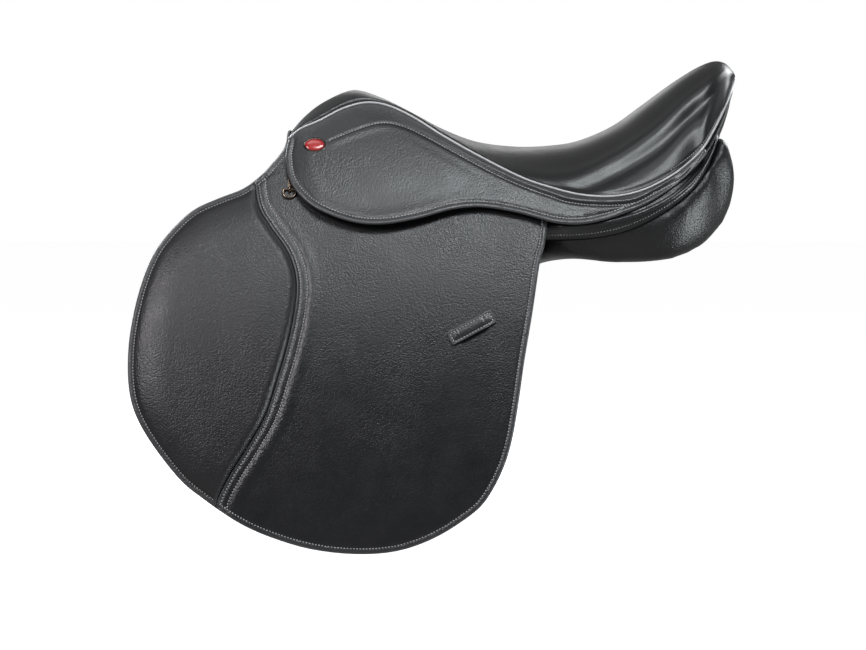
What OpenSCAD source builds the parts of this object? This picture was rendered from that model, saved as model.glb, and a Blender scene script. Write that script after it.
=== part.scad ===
// English jumping saddle. X runs from pommel to cantle, -Y is the near (left) side, +Z is up.
// The origin lies on the centre line, in the channel between the panels, where the horse's spine runs.

/* [Leather] */
// Thickness of the skirt leather
skirt_thick = 3.5; // [3:0.5:4]
// Thickness of the flap leather
flap_thick = 4.5; // [3.5:0.5:4.5]
// Thickness of the seat leather
seat_leather = 2.6; // [2:0.2:3]
// Thickness of the sweat flap
sweat_thick = 3; // [2:0.5:3]
// Height of the knee pad above the flap
pad_thick = 6; // [4:0.5:7]
// Radius of the seat piping
piping_r = 2.2; // [1.8:0.1:2.4]

/* [Girth straps] */
// Width of one girth strap
strap_w = 25; // [22:1:26]
// Thickness of one girth strap
strap_thick = 3; // [2.6:0.1:3]
// Length of a strap below its stitching
strap_drop = 275; // [220:5:280]
// Distance between two strap holes
hole_pitch = 25.4; // [20:0.2:26]
// Diameter of a strap hole
hole_d = 4.5; // [4:0.5:6]
// Number of holes in a strap
hole_count = 7; // [5:1:7]

/* [Stirrup bars] */
// Diameter of the stirrup bar
bar_d = 10; // [9:0.5:11]
// Clear gap behind the stirrup bar
bar_gap = 12; // [10:0.5:13]
// Thickness of the bar's back plate
plate_thick = 4; // [3:0.5:4]

/* [Fittings] */
// Wire diameter of the front dee
dee_wire = 2.2; // [1.8:0.2:2.2]
// Outer width of the front dee
dee_w = 15; // [13:1:16]
// Length of the oval skirt button
button_l = 23; // [18:1:24]
// Width of the oval skirt button
button_w = 13; // [10:1:14]
// Length of the stirrup leather keeper
keeper_l = 49; // [40:1:55]
// Width of the stirrup leather keeper
keeper_w = 14; // [10:1:16]

/* [Tree] */
// Thickness of the laminated tree
tree_thick = 9; // [8:0.5:9]
// Thickness of the steel gullet plate
gullet_steel = 4; // [3:0.5:4]
// Thickness of the tree's spring steels
spring_thick = 1.6; // [1.2:0.2:1.8]
// Thickness of the webbing
web_thick = 1.8; // [1.2:0.2:2]

/* [Hidden] */

$fn = 48;
left = -1;
right = 1;
gap = 0.1;

// Colours
black_leather = [0.05, 0.05, 0.055];
dark_leather = [0.1, 0.09, 0.09];
steel = [0.7, 0.7, 0.72];
canvas = [0.85, 0.82, 0.74];
foam = [0.9, 0.88, 0.8];
wood = [0.72, 0.55, 0.36];
enamel = [0.6, 0.05, 0.06];

// The flank: every leaf of leather at the side is part of a cylinder along X, at its own offset
flank_r = 786;
flank_y = -566;
flank_z = -344;
function flank(z, offset) = flank_y + sqrt(pow(flank_r + offset, 2) - pow(z - flank_z, 2));
function flank_tilt(z) = asin((z - flank_z) / flank_r);

// Offsets of the layers from the flap's inner face
skirt_in = 8;
skirt_out = skirt_in + skirt_thick;
sweat_out = -20;
web_in = -19.8;
guard_in = -3.7;
guard_thick = 1.5;
block_out = -3;
strap_in = [-17.6, -13, -8.4];
strap_x = [-55, -22, 11];
strap_top = 20;

// Fold lines of the flap and of the front lobe of the skirt
flap_fold_z = 8;
fold_gap = 0.4;
lobe_front = [-146, 84];
lobe_rear = [50, 30];

// A smooth curve through points
function between(p0, p1, p2, p3, t) = 0.5 * (2 * p1 + (p2 - p0) * t
    + (2 * p0 - 5 * p1 + 4 * p2 - p3) * t * t + (3 * p1 - p0 - 3 * p2 + p3) * t * t * t);
function curve_at(p, i, t) = between(p[max(i - 1, 0)], p[i], p[i + 1], p[min(i + 2, len(p) - 1)], t);
function curve(p, steps) = concat(
    [for (i = [0:len(p) - 2]) for (j = [0:steps - 1]) curve_at(p, i, j / steps)],
    [p[len(p) - 1]]);
function turned(p) = [for (i = [len(p) - 1:-1:0]) p[i]];
function unit(v) = v / norm(v);
function blend(a, b, t) = a + (b - a) * t;
function flat(rows) = [for (row = rows) for (p = row) p];

// A solid through rings that all have the same number of points
module loft(rings) {
    n = len(rings[0]);
    last = len(rings) - 1;
    sides = [for (i = [0:last - 1]) for (j = [0:n - 1]) for (half = [0, 1])
        half == 0
            ? [i * n + j, i * n + (j + 1) % n, (i + 1) * n + (j + 1) % n]
            : [i * n + j, (i + 1) * n + (j + 1) % n, (i + 1) * n + j]];
    caps = [[for (j = [n - 1:-1:0]) j], [for (j = [0:n - 1]) last * n + j]];
    polyhedron(points = flat(rings), faces = concat(sides, caps), convexity = 8);
}

// A band between two edge curves, with a thickness and a shift along its normal
function band_normal(a, b, i) = unit(cross(
    a[min(i + 1, len(a) - 1)] - a[max(i - 1, 0)] + b[min(i + 1, len(b) - 1)] - b[max(i - 1, 0)], b[i] - a[i]));
function band_rings(a, b, thick, shift) = [for (i = [0:len(a) - 1])
    let (n = band_normal(a, b, i), up = n * (shift + thick / 2), down = n * (shift - thick / 2))
    [a[i] + up, b[i] + up, b[i] + down, a[i] + down]];
module band(a, b, thick, shift = 0) {
    loft(band_rings(a, b, thick, shift));
}

// A round tube along a path
module tube(path, r, sides) {
    loft([for (i = [0:len(path) - 1])
        let (along = unit(path[min(i + 1, len(path) - 1)] - path[max(i - 1, 0)]),
            across = unit(cross(along, [0.02, 0.03, 1])), up = cross(across, along))
        [for (k = [0:sides - 1]) path[i] + r * (cos(360 * k / sides) * across + sin(360 * k / sides) * up)]]);
}

// One leaf of leather on the flank of the right side; its outline is in X and Z
module leaf(inner, thick, outline) {
    intersection() {
        translate([0, flank_y, flank_z]) rotate([0, 90, 0]) difference() {
            cylinder(r = flank_r + inner + thick, h = 900, center = true, $fn = 720);
            cylinder(r = flank_r + inner, h = 902, center = true, $fn = 720);
        }
        translate([0, 320, 0]) rotate([90, 0, 0]) linear_extrude(300) polygon(outline);
    }
}

module on_side(side) {
    mirror([0, side == left ? 1 : 0, 0]) children();
}

// ---- Seat ----
// Each row: X and Z on the centre line, then X and Z at the edge, and Y there if it leaves the flank
seat_rows = [
    [-142, 112, -146, 100], [-132, 124, -134, 110], [-116, 137, -116, 118], [-92, 149, -91, 131],
    [-76, 151, -68, 137], [-50, 142, -46, 134], [-20, 127, -20, 122], [10, 111, 10, 103],
    [45, 98, 45, 83], [85, 93, 88, 61], [120, 94, 120, 50], [150, 99, 150, 43],
    [185, 114, 182, 42], [215, 135, 212, 49], [245, 157, 241, 64], [272, 174, 262, 80, 105],
    [290, 181, 273, 92, 99], [302, 179, 284, 109, 83], [309, 172, 298, 134, 57], [313, 166, 312, 162, 8]];
seat_crown = 2.4;
seat_steps = 2;
function row_y(row) = len(row) > 4 ? row[4] : flank(row[3], skirt_out - 1);
seat_edge = [for (row = seat_rows) [row[2], row_y(row), row[3]]];
seat_spine = [for (row = seat_rows) [row[0], 0, row[1]]];
function seat_point(c, e, v) = [blend(c[0], e[0], v * v), e[1] * v, blend(c[2], e[2], pow(abs(v), seat_crown))];
function seat_grid(steps, columns, reach, drop, taper) =
    let (c = curve(seat_spine, steps), e = curve(seat_edge, steps))
    [for (i = [0:len(c) - 1]) [for (j = [-columns:columns])
        let (v = reach * j / columns) seat_point(c[i], e[i], v) - [0, 0, drop * (1 - taper * v * v)]]];

// A sheet between an upper and a lower grid that hang under each other
module sheet(upper, lower) {
    loft([for (i = [0:len(upper) - 1]) concat(upper[i], turned(lower[i]))]);
}

module seat_cover() {
    color(black_leather) sheet(seat_grid(seat_steps, 8, 1, 0, 0), seat_grid(seat_steps, 8, 1, seat_leather, 0));
}

// The foam stops one row short of the cantle's rim
function foam_rows(grid) = [for (i = [0:len(grid) - 2]) grid[i]];
module seat_foam() {
    foam_top = seat_leather + 0.4;
    color(foam) sheet(foam_rows(seat_grid(1, 6, 0.88, foam_top, 0)), foam_rows(seat_grid(1, 6, 0.88, foam_top + 9, 0.4)));
}

module seat_piping() {
    edge = curve(seat_edge, seat_steps);
    lift = [0, 1.2, -seat_leather / 2];
    other = [for (p = turned(edge)) [p[0], -p[1], p[2]] + [0, -lift[1], lift[2]]];
    color(black_leather) tube(concat([for (p = edge) p + lift], other), piping_r, 6);
}

// ---- Covers of the cantle and the pommel ----
module cantle_facing() {
    rim = [[262, 103, 73], [272, 97, 84], [283, 81, 100], [296, 55, 125], [306, 24, 148], [309, 0, 156]];
    foot = [[262, 98, 66], [272, 84, 76], [281, 66, 88], [289, 44, 99], [293, 20, 106], [294, 0, 108]];
    rim_all = concat(rim, [for (i = [4:-1:0]) [rim[i][0], -rim[i][1], rim[i][2]]]);
    foot_all = concat(foot, [for (i = [4:-1:0]) [foot[i][0], -foot[i][1], foot[i][2]]]);
    color(black_leather) band(curve(foot_all, 3), curve(rim_all, 3), 2.2);
}

module pommel_facing() {
    top = [[0, 103], [34, 100], [62, 94], [78, 86], [88, 70], [96, 44]];
    arch = [[60, 30], [54, 48], [44, 66], [26, 79], [0, 84]];
    half = concat(curve(top, 4), curve(arch, 4));
    color(black_leather) translate([-148.8, 0, 0]) rotate([90, 0, 90]) linear_extrude(2.2)
        polygon(concat(half, [for (i = [len(half) - 2:-1:1]) [-half[i][0], half[i][1]]]));
}

// ---- Tree ----
// The tree is a closed loop of laminate between an inner and an outer edge
tree_inner = [[-100, 0, 112], [-98, 18, 109], [-88, 30, 101], [-62, 36, 92], [-20, 38, 80], [30, 36, 67],
    [80, 42, 56], [130, 58, 50], [180, 72, 52], [222, 60, 66], [246, 36, 88], [256, 0, 100]];
tree_outer = [[-138, 0, 98], [-138, 34, 94], [-130, 66, 74], [-104, 88.5, 54], [-50, 88.5, 51.5], [14, 74, 52],
    [78, 78, 46], [135, 100, 37], [190, 102, 38], [246, 88, 66], [281, 56, 114], [296, 0, 150]];
tree_a = curve(tree_inner, 3);
tree_b = curve(tree_outer, 3);
point_top = [58, 84];
point_tip = [104, -14];
point_tilt = atan2(point_tip[0] - point_top[0], point_top[1] - point_tip[1]);
point_l = norm(point_tip - point_top);
point_x = [-136, -104];
head_bolts = [[-120, 20], [-120, -20]];
head_bolt_r = 3;
rivet_r = 2;
spring_rings = [9, 27];
rivet_spots = [for (i = [11, 16, 21, 26]) blend(tree_a[i], tree_b[i], 0.5)];
bar_rivet_x = [-94, -36];
bar_z = 46;
bar_y = 114;
plate_y = bar_y - bar_d / 2 - bar_gap;
bar_rivet_z = 53;

module tree_point() {
    translate([point_x[0], point_top[0], point_top[1]]) rotate([point_tilt, 0, 0]) translate([0, -4, -point_l])
        cube([point_x[1] - point_x[0], 8, point_l + 4]);
}

module rivet_shanks(extra) {
    for (side = [left, right], p = rivet_spots)
        translate([p[0], side * p[1], p[2] - 12]) cylinder(r = rivet_r + extra, h = 20, $fn = 16);
}

module tree_frame() {
    color(wood) difference() {
        for (side = [left, right]) on_side(side) {
            band(tree_a, tree_b, tree_thick);
            tree_point();
        }
        for (p = head_bolts) translate([p[0], p[1], 80]) cylinder(r = head_bolt_r + gap, h = 40, $fn = 20);
        rivet_shanks(gap);
        for (side = [left, right], x = bar_rivet_x)
            translate([x, side * 60, bar_rivet_z]) rotate([-90 * side, 0, 0]) cylinder(r = 2.5 + gap, h = 40, $fn = 20);
    }
}

plate_arc = curve([[0, 92], [34, 86], [54, 66], [68, 38], [78, 16]], 4);
function plate_side(t) = [for (i = [0:len(plate_arc) - 1])
    let (d = unit(plate_arc[min(i + 1, len(plate_arc) - 1)] - plate_arc[max(i - 1, 0)])) plate_arc[i] + t * [d[1], -d[0]]];

module gullet_plate() {
    half = concat(plate_arc, turned(plate_side(gullet_steel)));
    color(steel) difference() {
        translate([-134, 0, 0]) rotate([90, 0, 90]) linear_extrude(28) {
            polygon(half);
            mirror([1, 0]) polygon(half);
        }
        for (p = head_bolts) translate([p[0], p[1], 70]) cylinder(r = head_bolt_r + gap, h = 40);
    }
}

module gullet_screws() {
    color(steel) for (p = head_bolts) translate([p[0], p[1], 81.5]) {
        cylinder(r = 5.5, h = 3);
        cylinder(r = head_bolt_r, h = 20);
    }
}

module tree_springs() {
    steps = [for (i = [spring_rings[0]:spring_rings[1]]) i];
    shift = tree_thick / 2 + spring_thick / 2 + 1;
    color(steel) difference() {
        for (side = [left, right]) on_side(side) band([for (i = steps) blend(tree_a[i], tree_b[i], 0.3)],
            [for (i = steps) blend(tree_a[i], tree_b[i], 0.7)], spring_thick, shift);
        rivet_shanks(gap);
    }
}

module spring_rivets() {
    color(steel) rivet_shanks(0);
}

// ---- Stirrup bars, with a thumb latch at the open rear end ----
bar_front = -88;
bar_back = -13;
latch_x = -18;
pin_r = 1.5;
latch_w = 4;
latch_tilt = flank_tilt(bar_z);

// Local axes at the latch pin: Y along the pin, Z up the slope of the flank
module at_latch(side) {
    on_side(side) translate([latch_x, bar_y, bar_z]) rotate([latch_tilt, 0, 0]) children();
}

module stirrup_bar(side) {
    color(steel) difference() {
        on_side(side) union() {
            translate([bar_front, bar_y, bar_z]) rotate([0, 90, 0]) cylinder(d = bar_d, h = bar_back - bar_front);
            translate([bar_front, bar_y, bar_z]) sphere(d = bar_d);
            translate([bar_front, plate_y - 1, bar_z]) rotate([-90, 0, 0])
                cylinder(d = bar_d, h = bar_y - plate_y + 1);
            translate([-104, plate_y - plate_thick, bar_z - 8]) cube([88, plate_thick, 22]);
        }
        at_latch(side) translate([-6.5, -latch_w / 2 - 0.2, -bar_d]) cube([20, latch_w + 0.4, 2 * bar_d]);
        at_latch(side) translate([0, -bar_d, 0]) rotate([-90, 0, 0]) cylinder(r = pin_r, h = 2 * bar_d);
        on_side(side) for (x = bar_rivet_x) translate([x, 60, bar_rivet_z]) rotate([-90, 0, 0])
            cylinder(r = 2.6, h = 60);
    }
}

module stirrup_bar_rivets() {
    color(steel) for (side = [left, right], x = bar_rivet_x) on_side(side) {
        translate([x, 74, bar_rivet_z]) rotate([-90, 0, 0]) cylinder(r = 2.5, h = plate_y - 72);
        translate([x, plate_y + 0.1, bar_rivet_z]) rotate([-90, 0, 0]) cylinder(r = 4, h = 1.9);
    }
}

module latch_pins() {
    color(steel) for (side = [left, right]) at_latch(side)
        translate([0, -4.2, 0]) rotate([-90, 0, 0]) cylinder(r = pin_r, h = 8.4);
}

module thumb_latch(side) {
    color(steel) at_latch(side) difference() {
        union() {
            translate([0, -latch_w / 2, 0]) rotate([-90, 0, 0]) cylinder(r = 3.5, h = latch_w);
            translate([0, -latch_w / 2, -2]) cube([14, latch_w, 4]);
            translate([8.5, -3.5, -2]) cube([10, 7, 4]);
            translate([18.5, 0, -2]) cylinder(r = 3.5, h = 4);
        }
        translate([0, -5, 0]) rotate([-90, 0, 0]) cylinder(r = pin_r + 0.05, h = 10);
    }
}

// ---- Webbing ----
module seat_webbing() {
    path = curve([[-112, 118], [-96, 120.5], [-50, 110], [0, 96], [34, 87], [60, 80.5], [90, 76], [160, 84], [225, 100], [250, 106]], 2);
    color(canvas) band([for (p = path) [p[0], -24, p[1]]], [for (p = path) [p[0], 24, p[1]]], web_thick);
}

web_arc = curve([[0, 82.5], [36, 82], [70, 72], [88, 57], [96, 45], [flank(33, -19.2), 32]], 3);
module girth_webbing() {
    side_line = [for (i = [0:len(web_arc) - 1])
        let (d = unit(web_arc[min(i + 1, len(web_arc) - 1)] - web_arc[max(i - 1, 0)])) web_arc[i] + web_thick * [d[1], -d[0]]];
    half = concat(web_arc, turned(side_line));
    color(canvas) for (side = [left, right]) on_side(side) {
        translate([-6, 0, 0]) rotate([90, 0, 90]) linear_extrude(40) polygon(half);
        leaf(web_in, 0.8, [[-72, 14], [38, 14], [38, 32.6], [-72, 32.6]]);
    }
}

// ---- Skirts ----
skirt_low = [[-146, 98], [-148, 78], [-141, 52], [-118, 30], [-83, 16], [-50, 13], [-14, 19], [20, 28], [50, 30],
    [86, 24], [125, 14], [160, 15], [207, 30], [240, 50], [262, 70]];
skirt_high = [for (i = [15:-1:0]) [seat_edge[i][0], seat_edge[i][2] - 4.6]];
skirt_outline = concat(curve(skirt_low, 4), curve(skirt_high, 3));
lobe_dir = unit(lobe_rear - lobe_front);
lobe_up = [-lobe_dir[1], lobe_dir[0]];

// The half of the side view above (+1) or below (-1) the lobe's fold line, in front of its rear end
module lobe_zone(way) {
    from = lobe_front + lobe_up * way * fold_gap / 2 - lobe_dir * 60;
    to = lobe_rear + lobe_up * way * fold_gap / 2;
    translate([0, 300, 0]) rotate([90, 0, 0]) linear_extrude(300)
        polygon([from, to, to + lobe_up * way * 120, from + lobe_up * way * 120]);
}

module skirt(side) {
    color(black_leather) on_side(side) difference() {
        leaf(skirt_in, skirt_thick, skirt_outline);
        difference() {
            lobe_zone(-1);
            lobe_zone(1);
        }
    }
}

module skirt_lobe(side) {
    color(black_leather) on_side(side) intersection() {
        leaf(skirt_in, skirt_thick, skirt_outline);
        lobe_zone(-1);
    }
}

module skirt_button(side) {
    centre = [-119, 93];
    oval = [for (k = [0:23]) centre + [cos(15 * k) * button_l / 2, sin(15 * k) * button_w / 2]];
    color(enamel) on_side(side) leaf(skirt_out + 0.05, 2.4, oval);
}

// ---- Flaps ----
flap_front = [[-150, 90], [-163, 73], [-172, 63], [-190, 49], [-215, 39], [-240, 27], [-262, 6], [-278, -17],
    [-290, -50], [-298, -90], [-300, -125], [-297, -155], [-288, -180], [-270, -208], [-245, -238], [-222, -256],
    [-208, -266]];
flap_rear = [[-208, -266], [-187, -279], [-160, -291], [-120, -303], [-75, -308], [-35, -305], [0, -293],
    [30, -275], [50, -258], [66, -231], [76, -203], [83, -167], [90, -120], [98, -75], [106, -25], [111, -8], [114, 14]];
flap_head = [[116, 32], [60, 42], [4, 48], [4, 36], [-103, 36], [-108, 74], [-138, 84]];
flap_outline = concat(curve(flap_front, 3), curve(flap_rear, 3), flap_head);

module above_fold(way) {
    translate([-500, 0, flap_fold_z + way * fold_gap / 2 - (way < 0 ? 600 : 0)]) cube([1000, 400, 600]);
}

module flap_top(side) {
    color(black_leather) on_side(side) intersection() {
        leaf(0, flap_thick, flap_outline);
        above_fold(1);
    }
}

module flap(side) {
    color(black_leather) on_side(side) intersection() {
        leaf(0, flap_thick, flap_outline);
        above_fold(-1);
    }
}

pad_outline = concat(
    curve([[-258, 1], [-270, -17], [-282, -50], [-290, -90], [-292, -125], [-289, -153], [-280, -177],
        [-263, -204], [-240, -230], [-216, -252]], 3),
    curve([[-206, -246], [-190, -226], [-168, -188], [-152, -146], [-142, -108], [-137, -74], [-138, -36],
        [-148, -8], [-154, 1]], 3));
module knee_pad(side) {
    color(black_leather) on_side(side) leaf(flap_thick + gap, pad_thick, pad_outline);
}

module leather_keeper(side) {
    module strip(from, to, inner, thick) {
        corners = [for (c = [[from, -1], [to, -1], [to, 1], [from, 1]]) [38, -88]
            + c[0] * keeper_l * [cos(28), sin(28)] + c[1] * keeper_w / 2 * [-sin(28), cos(28)]];
        leaf(inner, thick, corners);
    }
    color(black_leather) on_side(side) {
        strip(-0.5, -0.38, flap_thick + gap, 4.4);
        strip(0.38, 0.5, flap_thick + gap, 4.4);
        strip(-0.4, 0.4, flap_thick + gap + 2, 2.4);
    }
}

// ---- Front dees ----
dee_x = -143.5;
dee_z = 48;
dee_leg = 3;
dee_lay = flap_thick + 0.5 + dee_wire / 2;
staple_wire = 2;

// Local axes at the dee: X as ever, Y out of the leather, Z up the slope of the flank
module at_dee(side) {
    on_side(side) translate([dee_x, flank(dee_z, dee_lay), dee_z]) rotate([flank_tilt(dee_z), 0, 0]) children();
}

module front_dee(side) {
    bend_r = dee_w / 2 - dee_wire / 2;
    color(steel) at_dee(side) {
        rotate([0, 90, 0]) cylinder(d = dee_wire, h = 2 * bend_r, center = true);
        for (x = [-bend_r, bend_r]) translate([x, 0, 0]) {
            sphere(d = dee_wire);
            translate([0, 0, -dee_leg]) cylinder(d = dee_wire, h = dee_leg);
        }
        translate([0, 0, -dee_leg]) rotate([90, 180, 0]) rotate_extrude(angle = 180) translate([bend_r, 0])
            circle(d = dee_wire);
    }
}

module dee_staple(side) {
    reach = dee_wire / 2 + staple_wire / 2 + 0.35;
    color(steel) at_dee(side) {
        rotate([0, -90, 0]) rotate_extrude(angle = 180) translate([reach, 0]) circle(d = staple_wire);
        for (z = [-reach, reach]) translate([0, 0, z]) rotate([90, 0, 0])
            cylinder(d = staple_wire, h = dee_lay - flap_thick - gap);
        translate([-2, flap_thick + gap - dee_lay, reach]) cube([4, 1.2, 12]);
    }
}

// ---- Sweat flaps and blocks ----
sweat_outline = concat(
    curve([[-150, 26], [-200, 14], [-240, -12], [-262, -60], [-268, -120], [-254, -172], [-216, -224], [-150, -262],
        [-80, -276], [-20, -266], [30, -238], [58, -194], [76, -140], [86, -80], [98, -10]], 3),
    [[98, 4], [60, 16], [0, 24], [-100, 26]]);
module sweat_flap(side) {
    color(dark_leather) on_side(side) leaf(sweat_out - sweat_thick, sweat_thick, sweat_outline);
}

knee_outline = concat(
    curve([[-196, 0], [-168, -2], [-166, -40], [-172, -84], [-184, -130], [-204, -168], [-222, -192]], 3),
    curve([[-238, -184], [-238, -160], [-226, -120], [-216, -78], [-208, -36]], 3));
module knee_block(side) {
    color(dark_leather) on_side(side) leaf(sweat_out + gap, block_out - sweat_out - gap, knee_outline);
}

thigh_outline = curve([[64, -60], [76, -54], [84, -66], [82, -100], [76, -140], [68, -150], [63, -140], [62, -100],
    [63, -66]], 3);
module thigh_block(side) {
    color(dark_leather) on_side(side) leaf(sweat_out + gap, block_out - sweat_out - gap, thigh_outline);
}

// ---- Panels ----
// Each station: X, then Y and Z of the inner top, outer top, outer foot and inner foot
panel_stations = [
    [-141, 34, 52, 44, 48, 108, -50, 92, -56],
    [-132, 30, 60, 46, 56, 118, -62, 90, -68],
    [-70, 30, 62, 50, 54, 122, -58, 88, -68],
    [0, 30, 48, 60, 40, 124, -50, 80, -62],
    [70, 28, 34, 80, 26, 120, -38, 64, -46],
    [120, 28, 28, 108, 14, 128, -27, 48, -22],
    [170, 28, 28, 131, 12, 134, -32, 40, -2],
    [210, 30, 36, 134, 23, 132, -32, 38, 2],
    [245, 30, 52, 130, 42, 124, -27, 40, 4],
    [272, 32, 74, 116, 70, 108, -14, 42, 8],
    [292, 40, 97, 102, 94, 92, 4, 48, 22],
    [301, 47, 108, 88, 106, 84, 22, 52, 28],
    [306, 54, 100, 79, 98, 76, 40, 57, 42],
    [308, 60, 84, 71, 83, 70, 56, 62, 56]];
panel_square = 4;
panel_sides = 20;
function bulge(a, k) = pow(abs(a), 2 / panel_square) * sign(a) * k;
function panel_ring(s) = [for (k = [0:panel_sides - 1])
    let (a = bulge(cos(360 * k / panel_sides), 0.5) + 0.5, b = bulge(sin(360 * k / panel_sides), 0.5) + 0.5,
        top = blend([s[1], s[2]], [s[3], s[4]], a), foot = blend([s[7], s[8]], [s[5], s[6]], a),
        p = blend(foot, top, b))
    [s[0], p[0], p[1]]];

module panel(side) {
    color(black_leather) on_side(side) loft([for (s = curve(panel_stations, 2)) panel_ring(s)]);
}

module panel_welt(side) {
    line = curve([for (i = [5:10]) let (s = panel_stations[i]) [s[0], s[3] + 1.5, s[4] + 1.5]], 4);
    color(black_leather) on_side(side) tube(line, 2, 6);
}

module point_pocket(side) {
    wall = 1.8;
    inner = [point_x[1] - point_x[0] + 1, 9, 34];
    color(dark_leather) on_side(side) translate([point_x[0], point_top[0], point_top[1]]) rotate([point_tilt, 0, 0])
        translate([-0.5, -4.5, -point_l - 0.5]) difference() {
            translate([-wall, -wall, -wall]) cube(inner + [2 * wall, 2 * wall, wall - 1]);
            cube(inner);
        }
}

// ---- Girth straps and buckle guards ----
// Place 0 is the front strap, 1 the middle one and 2 the rear one; each lies in its own layer
module girth_strap(place, side) {
    half = strap_w / 2;
    foot = strap_top - strap_drop;
    top_arc = [for (k = [0:10]) [cos(18 * k) * half, strap_top + sin(18 * k) * half]];
    tip = [[-half, foot + 14], [-4, foot], [4, foot], [half, foot + 14]];
    outline = [for (p = concat(top_arc, tip)) p + [strap_x[place], 0]];
    color(dark_leather) on_side(side) difference() {
        leaf(strap_in[place], strap_thick, outline);
        for (i = [0:hole_count - 1]) translate([strap_x[place], 60, foot + 22 + i * hole_pitch])
            rotate([-90, 0, 0]) cylinder(d = hole_d, h = 300, $fn = 24);
    }
}

module buckle_guard(side) {
    corner = 12;
    spots = [[26, -12], [-60, -12], [-60, -78], [26, -78]];
    outline = [for (q = [0:3]) for (k = [0:5]) spots[q] + corner * [cos(90 * q + 18 * k), sin(90 * q + 18 * k)]];
    color(dark_leather) on_side(side) leaf(guard_in, guard_thick, outline);
}

tree_frame();
gullet_plate();
gullet_screws();
tree_springs();
spring_rivets();
stirrup_bar(left);  // stirrup_bar_left
stirrup_bar(right);  // stirrup_bar_right
stirrup_bar_rivets();
latch_pins();
thumb_latch(left);  // thumb_latch_left
thumb_latch(right);  // thumb_latch_right
seat_webbing();
girth_webbing();
seat_foam();
seat_cover();
seat_piping();
cantle_facing();
pommel_facing();
skirt(left);  // skirt_left
skirt(right);  // skirt_right
skirt_lobe(left);  // skirt_lobe_left
skirt_lobe(right);  // skirt_lobe_right
skirt_button(left);  // skirt_button_left
skirt_button(right);  // skirt_button_right
flap_top(left);  // flap_top_left
flap_top(right);  // flap_top_right
flap(left);  // flap_left
flap(right);  // flap_right
knee_pad(left);  // knee_pad_left
knee_pad(right);  // knee_pad_right
leather_keeper(left);  // leather_keeper_left
leather_keeper(right);  // leather_keeper_right
dee_staple(left);  // dee_staple_left
dee_staple(right);  // dee_staple_right
front_dee(left);  // front_dee_left
front_dee(right);  // front_dee_right
sweat_flap(left);  // sweat_flap_left
sweat_flap(right);  // sweat_flap_right
knee_block(left);  // knee_block_left
knee_block(right);  // knee_block_right
thigh_block(left);  // thigh_block_left
thigh_block(right);  // thigh_block_right
panel(left);  // panel_left
panel(right);  // panel_right
panel_welt(left);  // panel_welt_left
panel_welt(right);  // panel_welt_right
point_pocket(left);  // point_pocket_left
point_pocket(right);  // point_pocket_right
girth_strap(0, left);  // girth_strap_front_left
girth_strap(1, left);  // girth_strap_middle_left
girth_strap(2, left);  // girth_strap_rear_left
girth_strap(0, right);  // girth_strap_front_right
girth_strap(1, right);  // girth_strap_middle_right
girth_strap(2, right);  // girth_strap_rear_right
buckle_guard(left);  // buckle_guard_left
buckle_guard(right);  // buckle_guard_right
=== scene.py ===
import math

import bpy
import numpy as np
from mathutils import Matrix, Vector, geometry
from mathutils.bvhtree import BVHTree


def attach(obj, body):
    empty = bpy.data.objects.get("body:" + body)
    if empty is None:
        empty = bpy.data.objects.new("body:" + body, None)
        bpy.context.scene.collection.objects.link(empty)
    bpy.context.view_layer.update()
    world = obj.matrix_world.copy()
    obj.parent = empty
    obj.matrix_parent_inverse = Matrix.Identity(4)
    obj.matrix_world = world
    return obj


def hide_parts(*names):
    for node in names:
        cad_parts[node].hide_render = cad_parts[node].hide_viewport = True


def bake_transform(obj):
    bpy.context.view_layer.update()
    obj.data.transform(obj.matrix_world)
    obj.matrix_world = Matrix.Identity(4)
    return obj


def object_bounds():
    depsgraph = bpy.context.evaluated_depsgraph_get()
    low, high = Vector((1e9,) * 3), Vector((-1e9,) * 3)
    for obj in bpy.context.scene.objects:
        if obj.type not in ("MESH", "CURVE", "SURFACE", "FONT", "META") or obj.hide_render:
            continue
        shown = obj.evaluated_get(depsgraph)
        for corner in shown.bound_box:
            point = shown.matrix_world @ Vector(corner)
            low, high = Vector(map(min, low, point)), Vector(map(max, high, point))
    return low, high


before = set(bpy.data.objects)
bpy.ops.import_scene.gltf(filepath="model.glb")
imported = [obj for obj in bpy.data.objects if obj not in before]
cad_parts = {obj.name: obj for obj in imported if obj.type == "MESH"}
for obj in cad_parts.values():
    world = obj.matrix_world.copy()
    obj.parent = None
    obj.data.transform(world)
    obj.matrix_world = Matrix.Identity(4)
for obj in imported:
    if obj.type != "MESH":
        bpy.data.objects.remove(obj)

# English jumping saddle: the looks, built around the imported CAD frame.
# Lengths are millimetres until make() turns a mesh into metres. X runs from pommel to cantle,
# -Y is the near (left) side, +Z is up. Side pieces are worked out on the right and mirrored.

cad_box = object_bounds()
MM = 0.001
BATCH = 2000  # points measured at a time, to keep the memory small
SIDES = {"left": -1, "right": 1}

# ---------------------------------------------------------------- curves

def curve(points, steps):
    """A smooth curve through points."""
    p = np.array(points, float)
    rows = []
    for i in range(len(p) - 1):
        p0, p1, p2, p3 = p[max(i - 1, 0)], p[i], p[i + 1], p[min(i + 2, len(p) - 1)]
        for j in range(steps):
            t = j / steps
            rows.append(0.5 * (2 * p1 + (p2 - p0) * t + (2 * p0 - 5 * p1 + 4 * p2 - p3) * t * t
                               + (3 * p1 - p0 - 3 * p2 + p3) * t ** 3))
    rows.append(p[-1])
    return np.array(rows)


def lengths(line):
    """How far along the line each of its points is."""
    return np.concatenate([[0], np.cumsum(np.linalg.norm(np.diff(line, axis=0), axis=1))])


def at_lengths(line, where):
    """The points of a line at the given distances along it."""
    s = lengths(line)
    return np.stack([np.interp(where, s, line[:, k]) for k in range(line.shape[1])], 1)


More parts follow.
